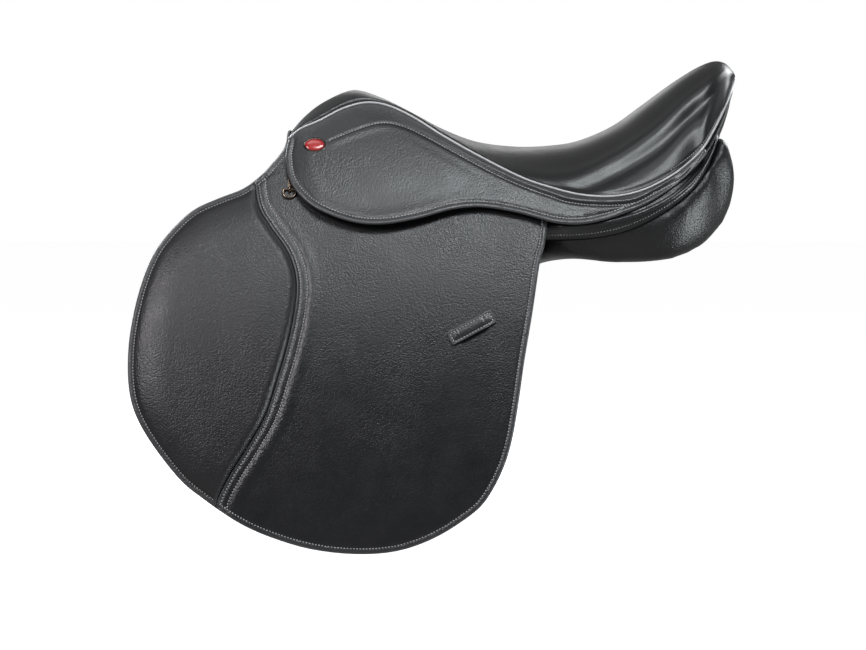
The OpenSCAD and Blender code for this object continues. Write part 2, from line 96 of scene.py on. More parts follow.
def even(line, pitch, closed=False):
    """The same line with points at an even pitch."""
    if closed:
        line = np.vstack([line, line[:1]])
    total = lengths(line)[-1]
    count = max(2, int(round(total / pitch)))
    points = at_lengths(line, np.linspace(0, total, count + 1))
    return points[:-1] if closed else points


def directions(line, closed=False):
    """The unit direction of the line at each of its points."""
    if closed:
        d = np.roll(line, -1, 0) - np.roll(line, 1, 0)
    else:
        d = np.gradient(line, axis=0)
    return d / np.maximum(np.linalg.norm(d, axis=1), 1e-9)[:, None]


def distance(points, line, closed=False):
    """Distance from points to a line, positive on the left of its direction."""
    a = line if closed else line[:-1]
    b = np.roll(line, -1, 0) if closed else line[1:]
    ab = b - a
    size = np.maximum((ab ** 2).sum(1), 1e-12)
    result = np.empty(len(points))
    for k in range(0, len(points), BATCH):
        ap = points[k:k + BATCH, None] - a[None]
        t = np.clip((ap * ab).sum(2) / size, 0, 1)
        off = ap - t[..., None] * ab
        d2 = (off ** 2).sum(2)
        near = np.argmin(d2, 1)
        rows = np.arange(len(near))
        turn = ab[near, 0] * ap[rows, near, 1] - ab[near, 1] * ap[rows, near, 0]
        result[k:k + BATCH] = np.sqrt(d2[rows, near]) * np.where(turn >= 0, 1, -1)
    return result


def inside(points, loop):
    """Which points lie inside a closed loop."""
    a, b = loop, np.roll(loop, -1, 0)
    found = np.zeros(len(points), bool)
    for k in range(0, len(points), BATCH):
        x, z = points[k:k + BATCH, 0:1], points[k:k + BATCH, 1:2]
        spans = (a[:, 1] > z) != (b[:, 1] > z)
        rise = np.where(b[:, 1] == a[:, 1], 1e-9, b[:, 1] - a[:, 1])
        cross = a[:, 0] + (z - a[:, 1]) * (b[:, 0] - a[:, 0]) / rise
        found[k:k + BATCH] = ((spans & (x < cross)).sum(1) % 2) == 1
    return found


def inset(loop, depth, pitch=2.0):
    """A closed loop moved inwards; points that would come too near the loop are left out."""
    loop = even(loop, pitch, closed=True)
    d = directions(loop, closed=True)
    moved = loop + depth * np.stack([-d[:, 1], d[:, 0]], 1)
    return moved[np.abs(distance(moved, loop, closed=True)) > depth * 0.97]


def beside(line, shift):
    """An open line moved to the left of its direction."""
    d = directions(line)
    return line + shift * np.stack([-d[:, 1], d[:, 0]], 1)


def counter_clockwise(loop):
    """The loop, turned to run counter-clockwise in X and Z."""
    a, b = loop, np.roll(loop, -1, 0)
    area = (a[:, 0] * b[:, 1] - b[:, 0] * a[:, 1]).sum()
    return loop if area > 0 else loop[::-1]


def step(value, low, high):
    """A smooth rise from 0 at low to 1 at high."""
    t = np.clip((value - low) / (high - low), 0, 1)
    return t * t * (3 - 2 * t)


def ridge(value, centre, width):
    """A smooth ridge of height 1."""
    return np.exp(-((value - centre) / width) ** 2)

# ---------------------------------------------------------------- meshes

def join(parts):
    """One mesh, (points, faces), from several."""
    points, faces, base = [], [], 0
    for v, f in parts:
        points.append(v)
        faces += [np.asarray(block) + base for block in f]
        base += len(v)
    return np.vstack(points), faces


def make(name, mesh, material, side=1, edge=None, sharp=None):
    """A Blender object from a mesh in millimetres; side -1 mirrors it to the left.

    edge says how near each point is to a leaf's edge, and sharp is the least angle of a sharp edge.
    """
    points, blocks = mesh
    faces = []
    for block in blocks:
        faces += (block[:, ::-1] if side < 0 else block).tolist()
    data = bpy.data.meshes.new(name)
    data.from_pydata((points * [1, side, 1] * MM).tolist(), [], faces)
    data.polygons.foreach_set("use_smooth", [True] * len(data.polygons))
    if edge is not None:
        data.attributes.new("edge", "FLOAT", "POINT").data.foreach_set("value", np.asarray(edge, np.float32))
    if sharp:
        data.set_sharp_from_angle(angle=math.radians(sharp))
    data.materials.append(material)
    data.validate()
    return in_scene(bpy.data.objects.new(name, data))


def in_scene(obj):
    bpy.context.scene.collection.objects.link(obj)
    return obj


def loft(rings):
    """Quads through closed rings of equal length, with both ends capped, as (points, faces)."""
    rings = np.asarray(rings)
    n, m = rings.shape[:2]
    grid = np.arange(n * m).reshape(n, m)
    grid = np.hstack([grid, grid[:, :1]])
    quads = np.stack([grid[:-1, :-1], grid[:-1, 1:], grid[1:, 1:], grid[1:, :-1]], -1).reshape(-1, 4)
    return rings.reshape(-1, 3), [quads, np.arange(m)[::-1][None], (np.arange(m) + (n - 1) * m)[None]]


def outward(mesh):
    """The mesh with its faces turned so that its volume is positive."""
    points, blocks = mesh
    volume = 0
    for block in blocks:
        for k in range(1, block.shape[1] - 1):
            a, b, c = points[block[:, 0]], points[block[:, k]], points[block[:, k + 1]]
            volume += (a * np.cross(b, c)).sum()
    return mesh if volume > 0 else (points, [block[:, ::-1] for block in blocks])


def around(sides, across, up):
    """A ring of points at distance 1 from the origin for each pair of directions."""
    turn = np.linspace(0, 2 * math.pi, sides, endpoint=False)
    return np.cos(turn)[None, :, None] * across[:, None] + np.sin(turn)[None, :, None] * up[:, None]


def tube(path, r, sides):
    """A round tube along a path in space."""
    along = np.gradient(path, axis=0)
    along /= np.linalg.norm(along, axis=1)[:, None]
    across = np.cross(along, [0.02, 0.03, 1.0])
    across /= np.linalg.norm(across, axis=1)[:, None]
    return outward(loft(path[:, None] + r * around(sides, across, np.cross(across, along))))


def grid_normals(grid):
    """Unit normals of a grid of points."""
    n = np.cross(np.gradient(grid, axis=1), np.gradient(grid, axis=0))
    return n / np.maximum(np.linalg.norm(n, axis=2), 1e-9)[..., None]


def shell(top, bottom):
    """A closed sheet between two grids of the same size."""
    return outward(loft(np.concatenate([top, bottom[:, ::-1]], axis=1)))

# ---------------------------------------------------------------- the flank of the saddle

# Every side leaf of leather is part of a cylinder along X, at its own offset
FLANK_R = 786.0
FLANK_Y = -566.0
FLANK_Z = -344.0


def flank(z, offset):
    """How far from the middle the flank is at height z."""
    return FLANK_Y + np.sqrt((FLANK_R + offset) ** 2 - (np.asarray(z, float) - FLANK_Z) ** 2)


def flank_normals(z):
    """Outward normals of the flank at height z."""
    rise = (np.asarray(z, float) - FLANK_Z) / FLANK_R
    return np.stack([np.zeros_like(rise), np.sqrt(1 - rise ** 2), rise], -1)


def on_flank(points, offset):
    """Points in X and Z, put on the flank at an offset."""
    return np.stack([points[:, 0], flank(points[:, 1], offset), points[:, 1]], 1)


ROUNDING = (0.1, 0.35, 0.7, 1.0)  # where mesh rings follow the rounded edge, as parts of its width
HOLE_RIM = 0.8
GUIDE_PITCH = 2.0
WORN_WIDTH = 1.5


class Leaf:
    """A closed leaf of leather, on the flank if place says nothing else, with a rounded edge.

    outline and holes are loops in X and Z, height(points, depth) is what the outer face adds,
    lift(points) moves the whole leaf outwards, and lines are (line, shifts) that the mesh follows.
    """

    place = staticmethod(on_flank)
    normals = staticmethod(lambda points: flank_normals(points[:, 1]))

    def __init__(self, outline, inner, thick, pitch=3.0, edge=1.6, rings=(), lines=(), height=None, lift=None,
                 holes=(), rim=2.0):
        self.inner, self.thick, self.edge = inner, thick, edge
        self.height = height or (lambda points, depth: np.zeros(len(points)))
        self.lift = lift or (lambda points: np.zeros(len(points)))
        self.outline = even(counter_clockwise(np.array(outline, float)), rim, closed=True)
        self.holes = [even(counter_clockwise(np.array(h, float))[::-1], HOLE_RIM, closed=True) for h in holes]
        loops = [self.outline] + self.holes
        rounding = [edge * k for k in ROUNDING]
        depths = rounding + list(rings)
        rows = [inset(self.outline, d, rim) for d in depths]
        rows += [inset(hole, d, HOLE_RIM) for hole in self.holes for d in rounding]
        keep_off = max(depths)
        for line, shifts in lines:
            line = even(np.array(line, float), GUIDE_PITCH)
            for shift in shifts:
                row = beside(line, shift)
                rows.append(row[self.depth(row) > keep_off + 0.3])
        low, high = self.outline.min(0), self.outline.max(0)
        xs, zs = np.meshgrid(np.arange(low[0], high[0], pitch), np.arange(low[1], high[1], pitch * 0.87))
        xs[1::2] += pitch / 2
        grid = np.stack([xs.ravel(), zs.ravel()], 1)
        grid = grid[self.depth(grid) > keep_off + pitch * 0.5]
        for line, shifts in lines:
            if len(grid):
                gap = distance(grid, np.array(line, float))
                grid = grid[(gap < min(shifts) - pitch * 0.5) | (gap > max(shifts) + pitch * 0.5)]
        points = np.vstack([*loops, *[row for row in rows if len(row)], grid])
        edges, base = [], 0
        for loop in loops:
            n = len(loop)
            edges += [(base + i, base + (i + 1) % n) for i in range(n)]
            base += n
        found = geometry.delaunay_2d_cdt([Vector(p) for p in points.tolist()], edges, [], 1, 1e-4)
        self.points = np.array([v[:] for v in found[0]])
        tris = np.array([f for f in found[2] if len(f) == 3])
        for hole in self.holes:
            tris = tris[~inside(self.points[tris].mean(1), hole)]
        a, b, c = self.points[tris[:, 0]], self.points[tris[:, 1]], self.points[tris[:, 2]]
        area = (b[:, 0] - a[:, 0]) * (c[:, 1] - a[:, 1]) - (b[:, 1] - a[:, 1]) * (c[:, 0] - a[:, 0])
        tris = np.where((area > 0)[:, None], tris[:, ::-1], tris)[np.abs(area) > 1e-6]
        used = np.unique(tris)
        renumber = np.full(len(self.points), -1)
        renumber[used] = np.arange(len(used))
        self.points, self.tris = self.points[used], renumber[tris]

    def depth(self, points):
        """How far inside the edge each point is; negative outside the leaf."""
        d = np.abs(distance(points, self.outline, closed=True)) * np.where(inside(points, self.outline), 1, -1)
        for hole in self.holes:
            far = np.abs(distance(points, hole, closed=True)) * np.where(inside(points, hole), -1, 1)
            d = np.minimum(d, far)
        return d

    def offset(self, points, depth=None):
        """The offset of the outer face."""
        depth = self.depth(points) if depth is None else depth
        away = np.clip(depth / self.edge, 0, 1)
        half = self.thick / 2 * np.sqrt(1 - (1 - away) ** 2)
        return self.inner + self.lift(points) + self.thick / 2 + half + self.height(points, depth) * step(away, 0, 1)

    def mesh(self):
        """(points, faces) of the closed leaf, and how near each point is to the edge."""
        depth = np.maximum(self.depth(self.points), 0)
        depth[depth < 1e-3] = 0
        outer = self.offset(self.points, depth)
        away = np.clip(depth / self.edge, 0, 1)
        under = self.inner + self.lift(self.points) + self.thick / 2 * (1 - np.sqrt(1 - (1 - away) ** 2))
        top = self.place(self.points, outer)
        inner_ids = np.flatnonzero(depth > 0)
        back = np.arange(len(top))
        back[inner_ids] = len(top) + np.arange(len(inner_ids))
        low = self.place(self.points, under)[inner_ids]
        near = np.exp(-depth / WORN_WIDTH)
        return (np.vstack([top, low]), [self.tris, back[self.tris][:, ::-1]]), np.concatenate([near, near[inner_ids]])

    def on(self, line, above=0.0):
        """Points in space on the outer face along a line in X and Z, and their normals."""
        return self.place(line, self.offset(line) + above), self.normals(line)

# ---------------------------------------------------------------- stitching

STITCH_PITCH = 3.1
STITCH_LENGTH = 1.9
STITCH_LEAN = math.radians(7)
# along the stitch, width and rise, as parts of half its length and of the thread's radius
STITCH_PROFILE = ((-1.0, 0.35, -0.45), (-0.72, 0.85, 0.1), (0.0, 1.0, 0.3), (0.72, 0.85, 0.1), (1.0, 0.35, -0.45))
STITCH_SIDES = 6
THREAD_R = 0.55


def stitches(path, normals):
    """Thread stitches along a path on a surface, as short tubes whose ends dip into the leather."""
    s = lengths(path)
    count = int(s[-1] / STITCH_PITCH)
    if count < 1:
        return []
    where = (np.arange(count) + 0.5) * s[-1] / count
    spots = at_lengths(path, where)
    ups = np.stack([np.interp(where, s, normals[:, k]) for k in range(3)], 1)
    ups /= np.linalg.norm(ups, axis=1)[:, None]
    along = at_lengths(path, np.minimum(where + 0.6, s[-1])) - at_lengths(path, np.maximum(where - 0.6, 0))
    along -= ups * (along * ups).sum(1)[:, None]
    along /= np.maximum(np.linalg.norm(along, axis=1), 1e-9)[:, None]
    across = np.cross(ups, along)
    c, s = math.cos(STITCH_LEAN), math.sin(STITCH_LEAN)
    along, across = along * c + across * s, across * c - along * s
    rings = []
    for t, width, rise in STITCH_PROFILE:
        centre = spots + along * (t * STITCH_LENGTH / 2) + ups * (rise * THREAD_R)
        rings.append(centre[:, None] + THREAD_R * width * around(STITCH_SIDES, across, ups))
    rings = np.stack(rings, 1)
    steps = (np.arange(count) * len(STITCH_PROFILE) * STITCH_SIDES)[:, None, None]
    blocks = [(block[None] + steps).reshape(-1, block.shape[1]) for block in loft(rings[0])[1]]
    return [outward((rings.reshape(-1, 3), blocks))]


def sew(leaf, lines):
    """Rows of stitches on a leaf along lines in X and Z."""
    found = []
    for line in lines:
        found += stitches(*leaf.on(even(np.array(line, float), 1.5), 0.05))
    return found

# ---------------------------------------------------------------- materials

class Nodes:
    """Short ways to add nodes to a tree. In names of sockets, _ stands for a space."""

    def __init__(self, tree):
        self.tree = tree

    def put(self, socket, value):
        """Gives a socket a value, or links it to another node's output."""
        if isinstance(value, bpy.types.NodeSocket):
            self.tree.links.new(value, socket)
        else:
            socket.default_value = (*value, 1) if socket.type == "RGBA" else value

    def node(self, kind, setting=None, **sockets):
        """A new node, with one (property, value) set before its sockets."""
        node = self.tree.nodes.new("ShaderNode" + kind)
        if setting:
            setattr(node, *setting)
        for name, value in sockets.items():
            self.put(node.inputs[name.replace("_", " ")], value)
        return node

    def ramp(self, source, low, high, start=0.0, end=1.0):
        """Turns the range start to end into low to high."""
        return self.node("MapRange", Value=source, From_Min=start, From_Max=end,
                         To_Min=low, To_Max=high).outputs["Result"]

    def mixed(self, factor, a, b):
        """A mix of two colours."""
        return self.node("Mix", ("data_type", "RGBA"), Factor=factor, A=a, B=b).outputs["Result"]

    def maths(self, operation, *values, kind="Math"):
        node = self.node(kind, ("operation", operation))
        for socket, value in zip(node.inputs, values):
            self.put(socket, value)
        return node.outputs[0]


class Look(Nodes):
    """A procedural material, with its textures in the object's own metres."""

    def __init__(self, name):
        self.material = bpy.data.materials.new(name)
        self.material.use_nodes = True
        super().__init__(self.material.node_tree)
        self.place = self.node("TexCoord").outputs["Object"]

    def texture(self, kind, scale, stretch=None, setting=None, **sockets):
        place = self.place
        if stretch:
            place = self.node("Mapping", Vector=place, Scale=stretch).outputs["Vector"]
        return self.node("Tex" + kind, setting, Vector=place, Scale=scale, **sockets)

    def noise(self, scale, detail, stretch=None, **sockets):
        return self.texture("Noise", scale, stretch, Detail=detail, **sockets).outputs["Fac"]

    def waves(self, scale, direction, **sockets):
        return self.texture("Wave", scale, setting=("bands_direction", direction), **sockets).outputs["Fac"]

    def bump(self, height, depth, strength, **under):
        """A bump of the given depth in metres; Normal= is the bump under it."""
        normal = self.node("Bump", Height=height, Distance=depth, Strength=strength, **under).outputs["Normal"]
        self.surface(Normal=normal)
        return normal

    def surface(self, **sockets):
        """Sets or links the shader's own sockets and returns the material."""
        for name, value in sockets.items():
            self.put(self.tree.nodes["Principled BSDF"].inputs[name.replace("_", " ")], value)
        return self.material


def leather(name, colour, edge_colour, pebble, grain, rough, coat=0.0, wrinkle=0.0):
    """Dyed leather: pebbled grain, fine pores, uneven gloss, edges worn to a paler tone, and painted shade in the
    hollows between pebbles.
    """
    look = Look(name)
    wander = look.texture("Noise", pebble * 0.45, Detail=2.0).outputs["Color"]
    pushed = look.maths("MULTIPLY_ADD", wander, (0.0016, 0.0016, 0.0016), look.place, kind="VectorMath")
    cells = look.node("TexVoronoi", ("feature", "SMOOTH_F1"), Vector=pushed, Scale=pebble, Smoothness=0.6)
    pores = look.noise(pebble * 3.1, 3.0, Roughness=0.6)
    cloud = look.noise(14.0, 4.0, Roughness=0.55)
    pebbles = look.ramp(cells.outputs["Distance"], 1.0, 0.0, 0.05, 0.75)
    uneven = look.maths("MULTIPLY", pebbles, look.ramp(cloud, 0.55, 1.15, 0.3, 0.7))
    normal = look.bump(look.maths("MULTIPLY_ADD", pores, 0.35, uneven), 0.00032, grain)
    if wrinkle:
        folds = look.noise(120.0, 3.0, (2.6, 1.0, 0.45), Distortion=0.6)
        look.bump(folds, 0.0016, wrinkle, Normal=normal)
    edge = look.node("Attribute", ("attribute_name", "edge")).outputs["Fac"]
    worn = look.maths("MULTIPLY", edge, look.ramp(cloud, 0.4, 1.0, 0.3, 0.7))
    # painted shade: the colour darkens towards pit in the hollows between pebbles
    darker, pit = (tuple(c * shade for c in colour) for shade in (0.72, 0.4))
    shaded_pits = look.mixed(look.ramp(pebbles, 0.35, 0.0), look.mixed(cloud, darker, colour), pit)
    gloss = look.ramp(look.noise(45.0, 5.0, Roughness=0.6), *rough, 0.3, 0.7)
    return look.surface(Base_Color=look.mixed(worn, shaded_pits, edge_colour), Roughness=gloss,
                        Specular_IOR_Level=0.5, Coat_Weight=coat, Coat_Roughness=0.22)


def thread():
    look = Look("waxed_thread")
    look.bump(look.waves(900.0, "DIAGONAL", Distortion=1.2), 0.00012, 0.6)
    colour = look.mixed(look.noise(60.0, 3.0), (0.27, 0.27, 0.275), (0.56, 0.56, 0.56))
    return look.surface(Base_Color=colour, Roughness=0.62)


def metal(name, colour, rough, brushed=0.0, tarnish=(0.2, 0.12, 0.07), stain=0.15):
    """Polished or brushed metal with fine scratches and a little tarnish."""
    look = Look(name)
    spots = look.noise(160.0, 5.0, Roughness=0.65)
    look.bump(look.noise(900.0, 2.0, (0.08, 1.0, 1.0)), 0.00008, 0.2 + brushed)
    tarnished = look.mixed(look.ramp(spots, 0.0, stain * 3, 0.5, 0.8), colour, tarnish)
    return look.surface(Base_Color=tarnished, Metallic=1.0, Roughness=look.ramp(spots, *rough, 0.3, 0.7))


def wood():
    """Laminated beech: thin plies with fine pores."""
    look = Look("laminated_wood")
    plies = look.waves(95.0, "Z", Distortion=3.0, Detail=2.0)
    pores = look.noise(420.0, 4.0, (0.12, 1.0, 1.0))
    look.bump(pores, 0.0003, 0.4)
    grainy = look.mixed(plies, (0.36, 0.2, 0.09), (0.56, 0.36, 0.18))
    colour = look.mixed(look.ramp(pores, 0.7, 0.0, 0.35, 0.6), grainy, (0.2, 0.1, 0.045))
    return look.surface(Base_Color=colour, Roughness=0.42, Coat_Weight=0.3)


def weave(name, colour, shade):
    """Woven webbing: warp and weft ribs 2 mm apart, with painted shade in the hollows between ribs."""
    look = Look(name)
    ribs = [look.waves(0.314 / (2 * MM), direction, Distortion=0.4) for direction in "XY"]
    fuzz = look.maths("MULTIPLY", look.noise(700.0, 4.0), 0.4)
    height = look.maths("ADD", look.maths("MULTIPLY", *ribs), fuzz)
    look.bump(height, 0.0006, 0.8)
    # painted shade: the colour goes to shade where the ribs are low
    return look.surface(Base_Color=look.mixed(height, shade, colour), Roughness=0.85, Sheen_Weight=0.25,
                        Sheen_Roughness=0.5)


def foam():
    look = Look("latex_foam")
    look.bump(look.texture("Voronoi", 520.0).outputs["Distance"], 0.0008, 0.7)
    colour = look.mixed(look.noise(18.0, 3.0), (0.62, 0.55, 0.38), (0.8, 0.75, 0.6))
    return look.surface(Base_Color=colour, Roughness=0.9)


def enamel():
    look = Look("red_enamel")
    cloud = look.noise(190.0, 3.0)
    look.bump(cloud, 0.0002, 0.3)
    colour = look.mixed(cloud, (0.3, 0.008, 0.01), (0.48, 0.03, 0.03))
    return look.surface(Base_Color=colour, Roughness=0.2, Coat_Weight=0.7, Coat_Roughness=0.06)


EDGE = (0.12, 0.12, 0.125)
MATERIALS = {
    "seat": leather("seat_calf_leather", (0.016, 0.016, 0.0165), EDGE, 620.0, 0.2, (0.3, 0.37)),
    "skirt": leather("skirt_leather_grained", (0.018, 0.019, 0.021), EDGE, 560.0, 0.42, (0.28, 0.37)),
    "flap": leather("flap_leather_grained", (0.014, 0.0145, 0.016), EDGE, 640.0, 0.7, (0.28, 0.37)),
    "pad": leather("pad_leather_soft", (0.017, 0.016, 0.018), EDGE, 600.0, 0.8, (0.33, 0.43), wrinkle=0.1),
    "panel": leather("panel_leather_soft", (0.013, 0.013, 0.014), EDGE, 560.0, 0.5, (0.36, 0.46), wrinkle=0.16),
    "piping": leather("piping_leather_grey", (0.6, 0.6, 0.61), (0.7, 0.7, 0.71), 900.0, 0.15, (0.2, 0.3), coat=0.4),
    "lining": leather("lining_leather", (0.02, 0.019, 0.018), (0.1, 0.09, 0.08), 520.0, 0.5, (0.5, 0.65)),
    "strap": leather("strap_leather_bridle", (0.02, 0.017, 0.015), (0.1, 0.08, 0.06), 700.0, 0.2, (0.34, 0.46)),
    "thread": thread(),
    "tree_wood": wood(),
    "tree_steel": metal("sprung_steel", (0.3, 0.31, 0.33), (0.32, 0.45), brushed=0.3),
    "bar_steel": metal("forged_steel", (0.58, 0.57, 0.55), (0.22, 0.34), brushed=0.15),
    "dee_steel": metal("bronzed_nickel", (0.2, 0.15, 0.115), (0.12, 0.2), tarnish=(0.16, 0.07, 0.04), stain=0.25),
    "rim_steel": metal("blackened_rim", (0.09, 0.075, 0.07), (0.2, 0.32)),
    "webbing": weave("linen_webbing", (0.6, 0.55, 0.43), (0.2, 0.17, 0.12)),
    "foam": foam(),
    "enamel": enamel(),
}

# ---------------------------------------------------------------- pieces

def add(name, mesh, look, side="", body="root", nodes=(), fold=None, edge=None, sharp=None):
    """Makes a piece, and says what it rides on and which CAD nodes it stands for.

    Its name, body and nodes are given without their side. fold is two spots in X and Z and an offset
    on the flank, which are not used; a piece given a fold has its place baked in and is not hung on its body.
    """
    def sided(word):
        return word + "_" + side if side and word != "root" else word

    piece = make(sided(name), mesh, MATERIALS[look], SIDES.get(side, 1), edge, sharp)
    if fold:
        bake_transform(piece)
    else:
        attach(piece, sided(body))
    if nodes:
        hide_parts(*[sided(node) for node in nodes])

# ---------------------------------------------------------------- control lines, in X and Z

SEAT_ROWS = [
    [-142, 112, -146, 100], [-132, 124, -134, 110], [-116, 137, -116, 118], [-92, 149, -91, 131],
    [-76, 151, -68, 137], [-50, 142, -46, 134], [-20, 127, -20, 122], [10, 111, 10, 103],
    [45, 98, 45, 83], [85, 93, 88, 61], [120, 94, 120, 50], [150, 99, 150, 43],
    [185, 114, 182, 42], [215, 135, 212, 49], [245, 157, 241, 64], [272, 174, 262, 80, 105],
    [290, 181, 273, 92, 99], [302, 179, 284, 109, 83], [309, 172, 298, 134, 57], [313, 166, 312, 162, 8]]
SKIRT_OUT = 11.5
SEAT_EDGE = np.array([[r[2], r[4] if len(r) > 4 else float(flank(r[3], SKIRT_OUT - 1)), r[3]] for r in SEAT_ROWS])
SEAT_SPINE = np.array([[r[0], 0, r[1]] for r in SEAT_ROWS], float)

SKIRT_LOW = [[-146, 98], [-148, 78], [-141, 52], [-118, 30], [-83, 16], [-50, 13], [-14, 19], [20, 28], [50, 30],
             [86, 24], [125, 14], [160, 15], [207, 30], [240, 50], [262, 69], [276, 84]]
SKIRT_LINE = [[-105, 97], [-81, 107], [-60, 114], [-43, 115], [-23, 109], [4, 95], [31, 80], [59, 65], [87, 52],
              [117, 41], [136, 35], [166, 32], [199, 34], [224, 45], [250, 60], [264, 75], [272, 86]]
LOBE_FRONT = np.array([-146.0, 84.0])
LOBE_REAR = np.array([50.0, 30.0])

FLAP_FRONT = [[-147.5, 99], [-152, 87], [-163, 73], [-172, 63], [-190, 49], [-215, 39], [-240, 27], [-262, 6],
              [-278, -17], [-290, -50], [-298, -90], [-300, -125], [-297, -155], [-288, -180], [-270, -208],
              [-245, -238], [-222, -256], [-208, -266]]
FLAP_REAR = [[-208, -266], [-187, -279], [-160, -291], [-120, -303], [-75, -308], [-35, -305], [0, -293],
             [30, -275], [50, -258], [66, -231], [76, -203], [83, -167], [90, -120], [98, -75], [106, -25],
             [111, -8], [114, 14]]
FLAP_HEAD = [[116, 32], [60, 42], [4, 48], [4, 36], [-103, 36], [-108, 74], [-138, 84]]
KNEE_SEAM = [[-179, 57], [-174, 31], [-162, 11], [-146, -11], [-138, -29], [-135, -49], [-137, -74], [-143, -104],
             [-152, -136], [-164, -173], [-181, -203], [-198, -230], [-209, -252], [-212, -265]]
FLAP_FOLD_Z = 8.0

SWEAT = [[-150, 26], [-200, 14], [-240, -12], [-262, -60], [-268, -120], [-254, -172], [-216, -224], [-150, -262],
         [-80, -276], [-20, -266], [30, -238], [58, -194], [76, -140], [86, -80], [98, -10]]
SWEAT_HEAD = [[98, 4], [60, 16], [0, 24], [-100, 26]]
KNEE_BLOCK = [[[-196, 0], [-168, -2], [-166, -40], [-172, -84], [-184, -130], [-204, -168], [-222, -192]],
              [[-238, -184], [-238, -160], [-226, -120], [-216, -78], [-208, -36]]]
THIGH_BLOCK = [[64, -60], [76, -54], [84, -66], [82, -100], [76, -140], [68, -150], [63, -140], [62, -100],
               [63, -66]]

# ---------------------------------------------------------------- seat

def seat_grid(steps, columns, drop=0.0, taper=0.0, reach=1.0):
    """The seat between its spine and its edges, rows from pommel to cantle."""
    c, e = curve(SEAT_SPINE, steps), curve(SEAT_EDGE, steps)
    v = np.linspace(-reach, reach, columns)[None, :]
    x = c[:, :1] + (e[:, :1] - c[:, :1]) * v ** 2
    y = e[:, 1:2] * v
    z = c[:, 2:] + (e[:, 2:] - c[:, 2:]) * np.abs(v) ** 2.4 - drop * (1 - taper * v ** 2)
    return np.stack([x, y, z], 2), np.broadcast_to(v, x.shape), np.broadcast_to(c[:, :1], x.shape)


CREASE_ROWS = [112, 142, 178, 200, 232, 245, 259, 281, 297, 309, 313]
CREASE_V = [1.03, 0.95, 0.845, 0.81, 0.78, 0.755, 0.73, 0.71, 0.66, 0.55, 0.5]
BEAD_ROWS = [-142, -116, -92, -50, -10, 40, 70]
BEAD_IN = [3.0, 8.0, 9.5, 9.0, 7.5, 5.0, 3.0]
SEAT_LEATHER = 2.6
SEAT_COLUMNS = 181
SEAT_SEWN = 5.5  # how far from the edge the stitching runs


def edge_distance(grid):
    """How far each grid point is from the nearer side edge, along its row."""
    s = np.pad(np.cumsum(np.linalg.norm(np.diff(grid, axis=1), axis=2), axis=1), ((0, 0), (1, 0)))
    return np.minimum(s, s[:, -1:] - s)


def seat_surface():
    """The seat leather's outer face: rolled cantle with a crease, and a bead beside the piping."""
    grid, v, row = seat_grid(8, SEAT_COLUMNS)
    normals = grid_normals(grid)
    normals *= np.sign(normals[..., 2:].mean())
    away = edge_distance(grid)
    half = np.linalg.norm(grid[:, -1] - grid[:, SEAT_COLUMNS // 2], axis=1)[:, None]
    crease = (np.abs(v) - np.interp(row, CREASE_ROWS, CREASE_V)) * half
    strong = step(row, 60, 160) * (1 - 0.9 * step(row, 282, 310)) * step(away, 0, 9)
    rise = (2.9 * ridge(crease, -14, 12) - 3.1 * ridge(crease, 4, 9) + 1.3 * ridge(crease, 21, 12)) * strong
    bead = np.interp(row, BEAD_ROWS, BEAD_IN)
    shown = step(row, -142, -128) * (1 - step(row, 20, 66))
    beside_bead = 0.7 * ridge(away, bead - 2.4, 0.8) + 0.5 * ridge(away, bead + 2.4, 0.9)
    rise += (1.6 * ridge(away, bead, 1.2) - beside_bead) * shown
    rise -= 0.7 * ridge(away, 2.6, 1.2)
    rim = step(row, 252, 268) * (1 - step(row, 311, 313))
    rise -= 0.6 * ridge(away, SEAT_SEWN, 1.0) * rim
    return grid + normals * rise[..., None], normals


def build_seat():
    top, normals = seat_surface()
    add("seat_leather_cover", shell(top, top - normals * SEAT_LEATHER), "seat", nodes=["seat_cover"])
    threads = []
    away = edge_distance(top)
    rows = [i for i in range(len(top) - 7) if SEAT_EDGE[-6, 0] - 4 < top[i, 0, 0]]
    left = [int(np.argmin(np.abs(away[i, :SEAT_COLUMNS // 2] - SEAT_SEWN))) for i in rows]
    for cols in (left, [top.shape[1] - 1 - c for c in left]):
        path, up = (curve(grid[rows, cols][::5], 4) for grid in (top, normals))
        threads += stitches(path + up * 0.1, up)
    add("seat_edge_stitching", join(threads), "thread")
    half = curve(SEAT_EDGE, 10) + [0, 1.2, -0.6]
    loop = np.vstack([half, (half * [1, -1, 1])[::-1]])
    add("seat_piping_cord", tube(even(loop, 2.5), 1.15, 12), "piping", nodes=["seat_piping"])


def build_foam():
    top, under = (seat_grid(4, 41, SEAT_LEATHER + drop, taper, 0.88)[0][3:-10]
                  for drop, taper in ((4.2, 0), (9.4, 0.4)))
    add("seat_foam_pad", shell(top, under), "foam", nodes=["seat_foam"], sharp=60)

# ---------------------------------------------------------------- skirts

SKIRT_SEWN = 6.0


